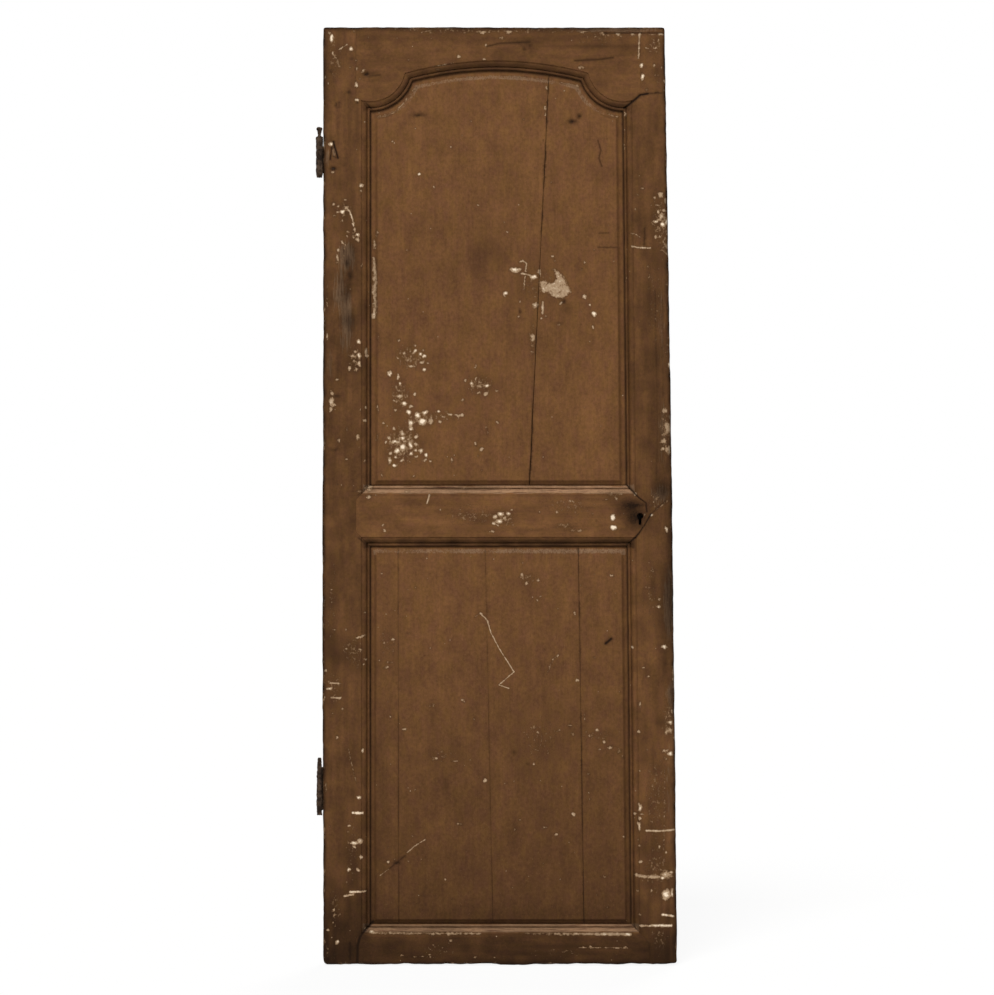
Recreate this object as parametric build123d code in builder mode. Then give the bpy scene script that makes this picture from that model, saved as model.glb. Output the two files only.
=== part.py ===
from build123d import *
import os

# Old painted door leaf: frame and panels, two lift-off hinge knuckles and a rim lock. Millimetres.
# X runs from the hinge axis to the lock edge, Y from the painted face to the back, Z up.
# The origin is on the hinge axis, level with the painted face, at the mouth of the lower knuckle.

os.makedirs("parts", exist_ok=True)

# Leaf. It is out of square: the lock edge leans in towards the head.
LEAF_HEIGHT = 2000
LEAF_WIDTH_FOOT = 755
LEAF_WIDTH_HEAD = 728
LEAF_THICKNESS = 36

# Frame members, from the leaf's edges to the sight lines where the panels begin
HINGE_STILE_WIDTH = 100
LOCK_STILE_WIDTH_FOOT = 97
LOCK_STILE_WIDTH_HEAD = 90
BOTTOM_RAIL_WIDTH = 85
LOCK_RAIL_HEIGHT = 893
LOCK_RAIL_WIDTH = 129
TOP_RAIL_CROWN_WIDTH = 90

# Shaped top rail: a flat arch between two round ears that hang from it
EAR_DROP = 177
EAR_RADIUS = 95
ARCH_RADIUS = 720

# Moulding on the frame's edges: fillet, ovolo, quirk and bead
FILLET_WIDTH = 3
FILLET_DEPTH = 2.2
OVOLO_RADIUS = 9
QUIRK_WIDTH = 1
BEAD_WIDTH = 6.5

# Panel groove, in line with the tenons, and the mitred shoulders in front of it
GROOVE_FRONT = 13
GROOVE_WIDTH = 9
GROOVE_DEPTH = 10
HINGE_SHOULDER_SET = 30
LOCK_SHOULDER_SET = 38
EAR_MITRE_RISE = 25
TOP_HAUNCH = 40
BOTTOM_HAUNCH = 22

# Fielded panels
FIELD_DEPTH = 7
FIELD_SLOPE = 6.5
MARGIN_WIDTH = 15
MARGIN_RISE = 0.8
PANEL_PLAY = 0.8
GROOVE_CLEARANCE = 0.2

# Joints between the panels' boards, as shares of the opening's width from the hinge side
UPPER_JOINT_HEAD_SHARE = 0.705
UPPER_JOINT_FOOT_SHARE = 0.62
LOWER_JOINT_HEAD_SHARES = (0.108, 0.448, 0.809)
LOWER_JOINT_FOOT_SHARES = (0.11, 0.47, 0.819)
UPPER_JOINT_GAP = 1.6
LOWER_JOINT_GAP = 0.8
BOARD_TONGUE_REACH = 7
BOARD_TONGUE_THICKNESS = 3.6
BOARD_TONGUE_CLEARANCE = 0.2

# Pegs that draw the tenons
PEG_RADIUS = 4.5
PEG_CLEARANCE = 0.1
PEG_SET_SHARE = 0.42
PEG_PAIR_SHARES = (0.22, 0.78)
PEG_SINGLE_SHARE = 0.5

# Hinge knuckles: a barrel with a blind bore that drops on a pin, and a plate let into the stile
HINGE_SET = 8.2
HINGE_BORE_RADIUS = 3.4
HINGE_BORE_DEPTH = 66
KNUCKLE_MOUTH_RADIUS = 5.4
UPPER_KNUCKLE_DROP = 321
UPPER_KNUCKLE_RADIUS = 7.3
UPPER_BARREL_LENGTH = 78
UPPER_MOUTH_TAPER = 9
UPPER_RING_RADIUS = 7.9
UPPER_RING_HEIGHT = 9
UPPER_NECK_RADIUS = 3.6
UPPER_NECK_HEIGHT = 7
UPPER_FINIAL_RADIUS = 5.8
UPPER_FINIAL_HEIGHT = 14
LOWER_KNUCKLE_HEIGHT = 319
LOWER_KNUCKLE_RADIUS = 6
LOWER_KNUCKLE_LENGTH = 112
LOWER_NECK_RADIUS = 4.4
LOWER_TIP_HEIGHT = 11
HINGE_PLATE_THICKNESS = 2.4
HINGE_PLATE_REACH = 46
HINGE_PLATE_MARGIN = 10
HINGE_PLATE_CLEARANCE = 0.1
HINGE_PIN_RADIUS = 2.2
HINGE_PIN_HEAD_RADIUS = 3.4
HINGE_PIN_HEAD_HEIGHT = 1.6
HINGE_PIN_LENGTH = 27
HINGE_PIN_POINT = 5
HINGE_PIN_SET = 21
HINGE_PIN_SHARES = (0.16, 0.84)
PIN_CLEARANCE = 0.1

# Keyhole, a round eye over a ward slot
KEYHOLE_RISE = 64
KEYHOLE_BACKSET = 66
KEYHOLE_RADIUS = 6.5
KEYHOLE_SLOT_WIDTH = 5.5
KEYHOLE_SLOT_DROP = 19

# Rim lock on the back: a folded case, a bolt, its staple and spring, and the nails
CASE_WIDTH = 128
CASE_HEIGHT = 98
CASE_DEPTH = 24
CASE_SHEET = 2
CASE_CORNER_RADIUS = 3
CASE_EDGE_GAP = 0.5
CASE_KEY_HEIGHT = 46
BOLT_HEIGHT = 24
BOLT_THICKNESS = 11
BOLT_RISE = 22
BOLT_TAIL_GAP = 8
BOLT_NOSE_RADIUS = 2
BOLT_THROW = 18
BOLT_NOTCH_WIDTH = 9
BOLT_NOTCH_DEPTH = 7
RUNNING_GAP = 0.4
STAPLE_SET = 32
STAPLE_WIDTH = 10
STAPLE_STRAP = 2.5
SPRING_STRIP = 1.4
SPRING_DEPTH = 8
SPRING_SET = 48
SPRING_LENGTH = 62
SPRING_FOOT = 12
NAIL_INSET = 11
NAIL_RADIUS = 2
NAIL_HEAD_RADIUS = 5.5
NAIL_HEAD_HEIGHT = 2.6
NAIL_BITE = 20
NAIL_POINT = 6
NAIL_CLEARANCE = 0.1

# Lengths that only have to reach past the part
OVERRUN = 5
REACH = 3000
HALF_TURN = 180

X_DIR = Vector(1, 0, 0)
Y_DIR = Vector(0, 1, 0)
Z_DIR = Vector(0, 0, 1)

# Levels
foot = -LOWER_KNUCKLE_HEIGHT
head = foot + LEAF_HEIGHT
lower_sill = foot + BOTTOM_RAIL_WIDTH
lower_head = foot + LOCK_RAIL_HEIGHT
upper_sill = lower_head + LOCK_RAIL_WIDTH
ear_foot = head - EAR_DROP
arch_crown = head - TOP_RAIL_CROWN_WIDTH
groove_back = GROOVE_FRONT + GROOVE_WIDTH
hinge_edge = HINGE_SET
hinge_sight = hinge_edge + HINGE_STILE_WIDTH
moulding_depth = FILLET_DEPTH + OVOLO_RADIUS
moulding_width = FILLET_WIDTH + OVOLO_RADIUS + QUIRK_WIDTH + BEAD_WIDTH


def lean(at_foot, at_head, z):
    """X of a leaning line at height z, from its X at the leaf's foot and at its head."""
    return at_foot + (at_head - at_foot) * (z - foot) / LEAF_HEIGHT


def lock_edge(z):
    """X of the leaf's lock edge at height z."""
    return lean(hinge_edge + LEAF_WIDTH_FOOT, hinge_edge + LEAF_WIDTH_HEAD, z)


def lock_sight(z):
    """X of the lock stile's sight line at height z."""
    sight_at_foot = hinge_edge + LEAF_WIDTH_FOOT - LOCK_STILE_WIDTH_FOOT
    sight_at_head = hinge_edge + LEAF_WIDTH_HEAD - LOCK_STILE_WIDTH_HEAD
    return lean(sight_at_foot, sight_at_head, z)


hinge_shoulder = hinge_sight - HINGE_SHOULDER_SET
lock_run = Vector(lock_sight(head) - lock_sight(foot), 0, LEAF_HEIGHT)
slant_share = lock_run.length / LEAF_HEIGHT


def lock_shoulder(z):
    """X of the rails' front shoulder on the lock stile at height z, square to the leaning sight line."""
    return lock_sight(z) + LOCK_SHOULDER_SET * slant_share


def layer(depth):
    """Plane parallel to the face at a depth, with X right and Z up; extrusions rise to the face."""
    return Plane.XZ.offset(-depth)


def frame_edge(base, way, far):
    """Outline of the void at a frame member's edge: moulding, lip, panel groove and square back."""

    def at(out, depth):
        return (base + way * out, depth)

    ovolo_out = moulding_width - FILLET_WIDTH
    ovolo_in = ovolo_out - OVOLO_RADIUS
    ovolo_cord = OVOLO_RADIUS * (1 - 0.5**0.5)
    bead_radius = BEAD_WIDTH / 2
    behind = LEAF_THICKNESS + OVERRUN
    with BuildLine() as outline:
        Polyline(
            at(moulding_width, -OVERRUN),
            at(moulding_width, FILLET_DEPTH),
            at(ovolo_out, FILLET_DEPTH),
        )
        ThreePointArc(
            at(ovolo_out, FILLET_DEPTH),
            at(ovolo_in + ovolo_cord, FILLET_DEPTH + ovolo_cord),
            at(ovolo_in, moulding_depth),
        )
        Line(at(ovolo_in, moulding_depth), at(BEAD_WIDTH, moulding_depth))
        ThreePointArc(
            at(BEAD_WIDTH, moulding_depth),
            at(bead_radius, moulding_depth - bead_radius),
            at(0, moulding_depth),
        )
        Polyline(
            at(0, moulding_depth),
            at(0, GROOVE_FRONT),
            at(GROOVE_DEPTH, GROOVE_FRONT),
            at(GROOVE_DEPTH, groove_back),
            at(0, groove_back),
            at(0, behind),
            (far, behind),
            (far, -OVERRUN),
            at(moulding_width, -OVERRUN),
        )
    return outline.edges()


def panel_edge(base, way, far):
    """Outline of a panel's edge: raised field, its slope, flat margin and the tongue in the groove."""
    tongue_front = GROOVE_FRONT + GROOVE_CLEARANCE
    tongue_back = groove_back - GROOVE_CLEARANCE
    tongue_out = GROOVE_DEPTH - PANEL_PLAY
    field_out = -MARGIN_WIDTH
    with BuildLine() as outline:
        Polyline(
            (far, FIELD_DEPTH),
            (base + way * field_out, FIELD_DEPTH),
            (base + way * (field_out + FIELD_SLOPE), tongue_front - MARGIN_RISE),
            (base, tongue_front),
            (base + way * tongue_out, tongue_front),
            (base + way * tongue_out, tongue_back),
            (far, tongue_back),
            close=True,
        )
    return outline.edges()


def edge_bar(point, outward, draw_edge):
    """Endless bar inside a straight sight line, its edge drawn by draw_edge."""
    with BuildPart() as bar:
        with BuildSketch(Plane(point, x_dir=outward, z_dir=outward.cross(Y_DIR))):
            make_face(draw_edge(0, 1, -REACH))
        extrude(amount=REACH, both=True)
    return bar.part


def turned_ear(centre, draw_edge):
    """Disc of an ear, turned about its centre, with the edge drawn inwards."""
    with BuildPart() as ear:
        with BuildSketch(Plane(centre, x_dir=X_DIR, z_dir=Z_DIR)):
            make_face(draw_edge(EAR_RADIUS, -1, 0))
        revolve(axis=Axis(centre, Y_DIR))
    return ear.part


def turned_arch(centre, draw_edge):
    """Everything above the arch, half a turn about its centre, out past the ends of the side bars."""
    with BuildPart() as arch:
        with BuildSketch(Plane(centre, x_dir=X_DIR, z_dir=Z_DIR)):
            make_face(draw_edge(ARCH_RADIUS, 1, REACH + REACH))
        revolve(axis=Axis(centre, -Y_DIR), revolution_arc=HALF_TURN)
    return arch.part


def opening_sides(sill, draw_edge, settle):
    """Bars of an opening's hinge side, lock side and sill; settle lowers the sill."""
    lock_outward = Y_DIR.cross(lock_run.normalized())
    return (
        edge_bar(Vector(hinge_sight, 0, sill), -X_DIR, draw_edge),
        edge_bar(Vector(lock_sight(sill), 0, sill), lock_outward, draw_edge),
        edge_bar(Vector(hinge_sight, 0, sill - settle), -Z_DIR, draw_edge),
    )


def fill_lower(draw_edge, settle):
    """Solid that fills the lower opening with the given edge all round."""
    hinge_side, lock_side, sill_side = opening_sides(lower_sill, draw_edge, settle)
    with BuildPart() as filled:
        add(hinge_side)
        add(lock_side, mode=Mode.INTERSECT)
        add(sill_side, mode=Mode.INTERSECT)
        add(edge_bar(Vector(hinge_sight, 0, lower_head), Z_DIR, draw_edge), mode=Mode.INTERSECT)
    return filled.part


def fill_upper(draw_edge, settle):
    """Solid that fills the upper opening: under the arch and outside the two ears."""
    hinge_side, lock_side, sill_side = opening_sides(upper_sill, draw_edge, settle)
    arch_middle = (hinge_sight + lock_sight(arch_crown)) / 2
    arch_centre = Vector(arch_middle, 0, arch_crown - ARCH_RADIUS)
    ear_level = ear_foot + EAR_RADIUS
    hinge_ear = Vector(hinge_sight, 0, ear_level)
    lock_ear = Vector(lock_sight(ear_foot), 0, ear_level)
    with BuildPart() as filled:
        add(hinge_side)
        add(lock_side, mode=Mode.INTERSECT)
        add(sill_side, mode=Mode.INTERSECT)
        add(turned_arch(arch_centre, draw_edge), mode=Mode.SUBTRACT)
        add(turned_ear(hinge_ear, draw_edge), mode=Mode.SUBTRACT)
        add(turned_ear(lock_ear, draw_edge), mode=Mode.SUBTRACT)
    return filled.part


lower_void = fill_lower(frame_edge, 0)
upper_void = fill_upper(frame_edge, 0)
lower_panel = fill_lower(panel_edge, PANEL_PLAY)
upper_panel = fill_upper(panel_edge, PANEL_PLAY)

# Tenons: bottom and top level of each rail's tenon, which runs through both stiles
bottom_tenon = (foot + BOTTOM_HAUNCH, lower_sill - GROOVE_DEPTH)
lock_tenon = (lower_head + GROOVE_DEPTH, upper_sill - GROOVE_DEPTH)
top_tenon = (ear_foot + EAR_MITRE_RISE, head - TOP_HAUNCH)


def through_tenon(levels):
    """Outline of a tenon from the hinge edge to the lock edge."""
    low, high = levels
    return ((hinge_edge, low), (lock_edge(low), low), (lock_edge(high), high), (hinge_edge, high))


def across(levels, share):
    """Level at a share of the way up between two levels."""
    low, high = levels
    return low + (high - low) * share


def peg_places(levels, shares):
    """Peg centres at both ends of a tenon, at shares of its height."""
    places = []
    for share in shares:
        z = across(levels, share)
        hinge_x = hinge_edge + HINGE_STILE_WIDTH * PEG_SET_SHARE
        lock_x = lock_edge(z) - (lock_edge(z) - lock_sight(z)) * PEG_SET_SHARE
        places += [(hinge_x, z), (lock_x, z)]
    return places


top_pegs_at = peg_places(top_tenon, PEG_PAIR_SHARES)
lock_pegs_at = peg_places(lock_tenon, PEG_PAIR_SHARES)
bottom_pegs_at = peg_places(bottom_tenon, (PEG_SINGLE_SHARE,))


def pegs(places, radius):
    """Round pegs through the whole thickness of the leaf."""
    with BuildPart() as row:
        with BuildSketch(layer(LEAF_THICKNESS)):
            with Locations(*places):
                Circle(radius)
        extrude(amount=LEAF_THICKNESS)
    return row.part


peg_holes = pegs(top_pegs_at + lock_pegs_at + bottom_pegs_at, PEG_RADIUS + PEG_CLEARANCE)

# Lock places
key_z = lower_head + KEYHOLE_RISE
key_x = lock_edge(key_z) - KEYHOLE_BACKSET
case_low = key_z - CASE_KEY_HEIGHT
case_high = case_low + CASE_HEIGHT
case_lock = lock_edge(case_high) - CASE_EDGE_GAP
case_hinge = case_lock - CASE_WIDTH
case_back = LEAF_THICKNESS + CASE_DEPTH
case_inner = case_back - CASE_SHEET
bolt_low = key_z + BOLT_RISE - BOLT_HEIGHT / 2
bolt_high = bolt_low + BOLT_HEIGHT
bolt_back = case_inner - RUNNING_GAP
bolt_front = bolt_back - BOLT_THICKNESS
nail_places = [
    (case_hinge + NAIL_INSET, case_low + NAIL_INSET),
    (case_lock - NAIL_INSET, case_low + NAIL_INSET),
    (case_hinge + NAIL_INSET, case_high - NAIL_INSET),
    (case_lock - NAIL_INSET, case_high - NAIL_INSET),
]

with BuildPart() as keyhole:
    with BuildSketch(layer(LEAF_THICKNESS)):
        with Locations((key_x, key_z)):
            Circle(KEYHOLE_RADIUS)
            Rectangle(KEYHOLE_SLOT_WIDTH, KEYHOLE_SLOT_DROP, align=(Align.CENTER, Align.MAX))
    extrude(amount=LEAF_THICKNESS)


def lock_nail_set(grow):
    """The four nails of the lock, heads on the case and points in the wood, grown by a clearance."""
    tip = LEAF_THICKNESS - NAIL_BITE - grow
    shank = NAIL_RADIUS + grow
    with BuildPart() as nails:
        for x, z in nail_places:
            centre = Vector(x, 0, z)
            with BuildSketch(Plane(centre, x_dir=X_DIR, z_dir=Z_DIR)):
                with BuildLine():
                    Polyline(
                        (NAIL_HEAD_RADIUS, case_back),
                        (shank, case_back),
                        (shank, tip + NAIL_POINT),
                        (0, tip),
                        (0, case_back + NAIL_HEAD_HEIGHT),
                    )
                    Spline(
                        (0, case_back + NAIL_HEAD_HEIGHT),
                        (NAIL_HEAD_RADIUS, case_back),
                        tangents=((1, 0), (0, -1)),
                    )
                make_face()
            revolve(axis=Axis(centre, Y_DIR))
    return nails.part


nail_holes = lock_nail_set(NAIL_CLEARANCE)

# Hinge places
upper_mouth = head - UPPER_KNUCKLE_DROP
lower_mouth = 0


def plate_levels(mouth, barrel_length):
    """Bottom and top of a hinge plate beside its barrel."""
    return (mouth + HINGE_PLATE_MARGIN, mouth + barrel_length - HINGE_PLATE_MARGIN)


def hinge_plate(levels, barrel_radius, grow):
    """Plate tangent to the back of a barrel and running into the stile, grown by a clearance."""
    low, high = levels
    with BuildPart() as plate:
        with BuildSketch(layer(barrel_radius + grow)):
            Polygon(
                (0, low - grow),
                (hinge_edge + HINGE_PLATE_REACH + grow, low - grow),
                (hinge_edge + HINGE_PLATE_REACH + grow, high + grow),
                (0, high + grow),
                align=None,
            )
        extrude(amount=HINGE_PLATE_THICKNESS + grow + grow)
    return plate.part


def hinge_pin_set(levels, grow):
    """Iron pins through the stile and a hinge plate, heads flush with the face."""
    with BuildPart() as pins:
        for share in HINGE_PIN_SHARES:
            centre = Vector(hinge_edge + HINGE_PIN_SET, 0, across(levels, share))
            with BuildSketch(Plane(centre, x_dir=X_DIR, z_dir=Z_DIR)):
                Polygon(
                    (0, 0),
                    (HINGE_PIN_HEAD_RADIUS + grow, 0),
                    (HINGE_PIN_HEAD_RADIUS + grow, HINGE_PIN_HEAD_HEIGHT + grow),
                    (HINGE_PIN_RADIUS + grow, HINGE_PIN_HEAD_HEIGHT + grow),
                    (HINGE_PIN_RADIUS + grow, HINGE_PIN_LENGTH - HINGE_PIN_POINT + grow),
                    (0, HINGE_PIN_LENGTH + grow),
                    align=None,
                )
            revolve(axis=Axis(centre, Y_DIR))
    return pins.part


upper_plate_at = plate_levels(upper_mouth, UPPER_BARREL_LENGTH)
lower_plate_at = plate_levels(lower_mouth, LOWER_KNUCKLE_LENGTH)


def stile_face(edge, sight, shoulder, shoulder_set):
    """Front outline of a stile: sight lines beside the panels, mitred to the shoulders at the rails."""
    below_sill = lower_sill - shoulder_set
    above_head = lower_head + shoulder_set
    below_upper = upper_sill - shoulder_set
    above_ear = ear_foot + EAR_MITRE_RISE
    return (
        (edge(foot), foot),
        (shoulder(foot), foot),
        (shoulder(below_sill), below_sill),
        (sight(lower_sill), lower_sill),
        (sight(lower_head), lower_head),
        (shoulder(above_head), above_head),
        (shoulder(below_upper), below_upper),
        (sight(upper_sill), upper_sill),
        (sight(ear_foot), ear_foot),
        (shoulder(above_ear), above_ear),
        (shoulder(head), head),
        (edge(head), head),
    )


def stile(edge, sight, shoulder, shoulder_set):
    """Stile with its front mitres, mortises, panel grooves, moulding and peg holes."""
    with BuildPart() as member:
        with BuildSketch(layer(GROOVE_FRONT)):
            Polygon(*stile_face(edge, sight, shoulder, shoulder_set), align=None)
        extrude(amount=GROOVE_FRONT)
        with BuildSketch(layer(LEAF_THICKNESS)):
            Polygon(
                (edge(foot), foot),
                (sight(foot), foot),
                (sight(head), head),
                (edge(head), head),
                align=None,
            )
        extrude(amount=LEAF_THICKNESS - GROOVE_FRONT)
        with BuildSketch(layer(groove_back)):
            Polygon(*through_tenon(bottom_tenon), align=None)
            Polygon(*through_tenon(lock_tenon), align=None)
            Polygon(*through_tenon(top_tenon), align=None)
        extrude(amount=GROOVE_WIDTH, mode=Mode.SUBTRACT)
        add(lower_void, mode=Mode.SUBTRACT)
        add(upper_void, mode=Mode.SUBTRACT)
        add(peg_holes, mode=Mode.SUBTRACT)
    return member.part


with BuildPart() as hinge_stile:
    hinge_lines = (lambda z: hinge_edge, lambda z: hinge_sight, lambda z: hinge_shoulder)
    add(stile(*hinge_lines, HINGE_SHOULDER_SET))
    add(hinge_plate(upper_plate_at, UPPER_KNUCKLE_RADIUS, HINGE_PLATE_CLEARANCE), mode=Mode.SUBTRACT)
    add(hinge_plate(lower_plate_at, LOWER_KNUCKLE_RADIUS, HINGE_PLATE_CLEARANCE), mode=Mode.SUBTRACT)
    add(hinge_pin_set(upper_plate_at, PIN_CLEARANCE), mode=Mode.SUBTRACT)
    add(hinge_pin_set(lower_plate_at, PIN_CLEARANCE), mode=Mode.SUBTRACT)
hinge_stile.part.label = "hinge_stile"
export_step(hinge_stile.part, "parts/hinge_stile.step")

with BuildPart() as lock_stile:
    add(stile(lock_edge, lock_sight, lock_shoulder, LOCK_SHOULDER_SET))
    add(keyhole.part, mode=Mode.SUBTRACT)
    add(nail_holes, mode=Mode.SUBTRACT)
lock_stile.part.label = "lock_stile"
export_step(lock_stile.part, "parts/lock_stile.step")


def rail(front, low, high, tenon):
    """Rail with mitred front shoulders, square back shoulders and a tenon through both stiles."""
    with BuildPart() as member:
        with BuildSketch(layer(GROOVE_FRONT)):
            Polygon(*front, align=None)
        extrude(amount=GROOVE_FRONT)
        with BuildSketch(layer(LEAF_THICKNESS)):
            Polygon(
                (hinge_sight, low),
                (lock_sight(low), low),
                (lock_sight(high), high),
                (hinge_sight, high),
                align=None,
            )
        extrude(amount=LEAF_THICKNESS - GROOVE_FRONT)
        with BuildSketch(layer(groove_back)):
            Polygon(*through_tenon(tenon), align=None)
        extrude(amount=GROOVE_WIDTH)
        add(lower_void, mode=Mode.SUBTRACT)
        add(upper_void, mode=Mode.SUBTRACT)
        add(peg_holes, mode=Mode.SUBTRACT)
    return member.part


with BuildPart() as bottom_rail:
    lock_mitre = lower_sill - LOCK_SHOULDER_SET
    bottom_front = (
        (hinge_shoulder, foot),
        (lock_shoulder(foot), foot),
        (lock_shoulder(lock_mitre), lock_mitre),
        (lock_sight(lower_sill), lower_sill),
        (hinge_sight, lower_sill),
        (hinge_shoulder, lower_sill - HINGE_SHOULDER_SET),
    )
    add(rail(bottom_front, foot, lower_sill, bottom_tenon))
bottom_rail.part.label = "bottom_rail"
export_step(bottom_rail.part, "parts/bottom_rail.step")

with BuildPart() as lock_rail:
    low_mitre = lower_head + LOCK_SHOULDER_SET
    high_mitre = upper_sill - LOCK_SHOULDER_SET
    lock_front = (
        (hinge_shoulder, lower_head + HINGE_SHOULDER_SET),
        (hinge_sight, lower_head),
        (lock_sight(lower_head), lower_head),
        (lock_shoulder(low_mitre), low_mitre),
        (lock_shoulder(high_mitre), high_mitre),
        (lock_sight(upper_sill), upper_sill),
        (hinge_sight, upper_sill),
        (hinge_shoulder, upper_sill - HINGE_SHOULDER_SET),
    )
    add(rail(lock_front, lower_head, upper_sill, lock_tenon))
    add(keyhole.part, mode=Mode.SUBTRACT)
    add(nail_holes, mode=Mode.SUBTRACT)
lock_rail.part.label = "lock_rail"
export_step(lock_rail.part, "parts/lock_rail.step")

with BuildPart() as top_rail:
    ear_mitre = ear_foot + EAR_MITRE_RISE
    below_ear = ear_foot - OVERRUN
    top_front = (
        (hinge_shoulder, ear_mitre),
        (hinge_sight, ear_foot),
        (hinge_sight, below_ear),
        (lock_sight(below_ear), below_ear),
        (lock_sight(ear_foot), ear_foot),
        (lock_shoulder(ear_mitre), ear_mitre),
        (lock_shoulder(head), head),
        (hinge_shoulder, head),
    )
    add(rail(top_front, below_ear, head, top_tenon))
top_rail.part.label = "top_rail"
export_step(top_rail.part, "parts/top_rail.step")

# Panel boards, tongued and grooved to each other
tongue_front = (GROOVE_FRONT + groove_back - BOARD_TONGUE_THICKNESS) / 2
tongue_back = tongue_front + BOARD_TONGUE_THICKNESS


def joint_line(head_share, foot_share, sill, top):
    """Return a function giving the X of a board joint at a level, from its shares at two levels."""
    x_foot = hinge_sight + (lock_sight(sill) - hinge_sight) * foot_share
    x_head = hinge_sight + (lock_sight(top) - hinge_sight) * head_share
    return lambda z: x_foot + (x_head - x_foot) * (z - sill) / (top - sill)


def strip(line, low, high, start, end):
    """Outline of a strip along a joint line, from start to end beside it."""
    return (
        (line(low) + start, low),
        (line(low) + end, low),
        (line(high) + end, high),
        (line(high) + start, high),
    )


def board(panel, left, right, gap, low, high):
    """Board of a panel between two joints: grooved on the left, tongued on the right."""
    with BuildPart() as one:
        add(panel)
        if left:
            with BuildSketch(layer(LEAF_THICKNESS)):
                Polygon(*strip(left, low, high, -REACH, gap / 2), align=None)
            extrude(amount=LEAF_THICKNESS, mode=Mode.SUBTRACT)
            with BuildSketch(layer(tongue_back + BOARD_TONGUE_CLEARANCE)):
                groove_end = BOARD_TONGUE_REACH + BOARD_TONGUE_CLEARANCE - gap / 2
                Polygon(*strip(left, low, high, 0, groove_end), align=None)
            groove_gap = BOARD_TONGUE_THICKNESS + BOARD_TONGUE_CLEARANCE + BOARD_TONGUE_CLEARANCE
            extrude(amount=groove_gap, mode=Mode.SUBTRACT)
        if right:
            tongue_end = BOARD_TONGUE_REACH - gap / 2
            with BuildSketch(layer(LEAF_THICKNESS)):
                Polygon(*strip(right, low, high, tongue_end, REACH), align=None)
            extrude(amount=LEAF_THICKNESS, mode=Mode.SUBTRACT)
            with BuildSketch(layer(tongue_front)):
                Polygon(*strip(right, low, high, -gap / 2, REACH), align=None)
            extrude(amount=tongue_front, mode=Mode.SUBTRACT)
            with BuildSketch(layer(LEAF_THICKNESS)):
                Polygon(*strip(right, low, high, -gap / 2, REACH), align=None)
            extrude(amount=LEAF_THICKNESS - tongue_back, mode=Mode.SUBTRACT)
    return one.part


upper_joint = joint_line(UPPER_JOINT_HEAD_SHARE, UPPER_JOINT_FOOT_SHARE, upper_sill, arch_crown)
upper_span = (upper_sill - GROOVE_DEPTH - OVERRUN, arch_crown + GROOVE_DEPTH + OVERRUN)

with BuildPart() as upper_panel_hinge_board:
    add(board(upper_panel, None, upper_joint, UPPER_JOINT_GAP, *upper_span))
upper_panel_hinge_board.part.label = "upper_panel_hinge_board"
export_step(upper_panel_hinge_board.part, "parts/upper_panel_hinge_board.step")

with BuildPart() as upper_panel_lock_board:
    add(board(upper_panel, upper_joint, None, UPPER_JOINT_GAP, *upper_span))
upper_panel_lock_board.part.label = "upper_panel_lock_board"
export_step(upper_panel_lock_board.part, "parts/upper_panel_lock_board.step")

lower_span = (lower_sill - GROOVE_DEPTH - OVERRUN, lower_head + GROOVE_DEPTH + OVERRUN)
lower_joints = [
    joint_line(head_share, foot_share, lower_sill, lower_head)
    for head_share, foot_share in zip(LOWER_JOINT_HEAD_SHARES, LOWER_JOINT_FOOT_SHARES)
]
for number, (left, right) in enumerate(zip([None] + lower_joints, lower_joints + [None]), 1):
    with BuildPart() as lower_board:
        add(board(lower_panel, left, right, LOWER_JOINT_GAP, *lower_span))
    lower_board.part.label = f"lower_panel_board_{number}"
    export_step(lower_board.part, f"parts/lower_panel_board_{number}.step")

# Pegs
with BuildPart() as top_rail_pegs:
    add(pegs(top_pegs_at, PEG_RADIUS))
top_rail_pegs.part.label = "top_rail_pegs"
export_step(top_rail_pegs.part, "parts/top_rail_pegs.step")

with BuildPart() as lock_rail_pegs:
    add(pegs(lock_pegs_at, PEG_RADIUS))
lock_rail_pegs.part.label = "lock_rail_pegs"
export_step(lock_rail_pegs.part, "parts/lock_rail_pegs.step")

with BuildPart() as bottom_rail_pegs:
    add(pegs(bottom_pegs_at, PEG_RADIUS))
bottom_rail_pegs.part.label = "bottom_rail_pegs"
export_step(bottom_rail_pegs.part, "parts/bottom_rail_pegs.step")

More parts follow.
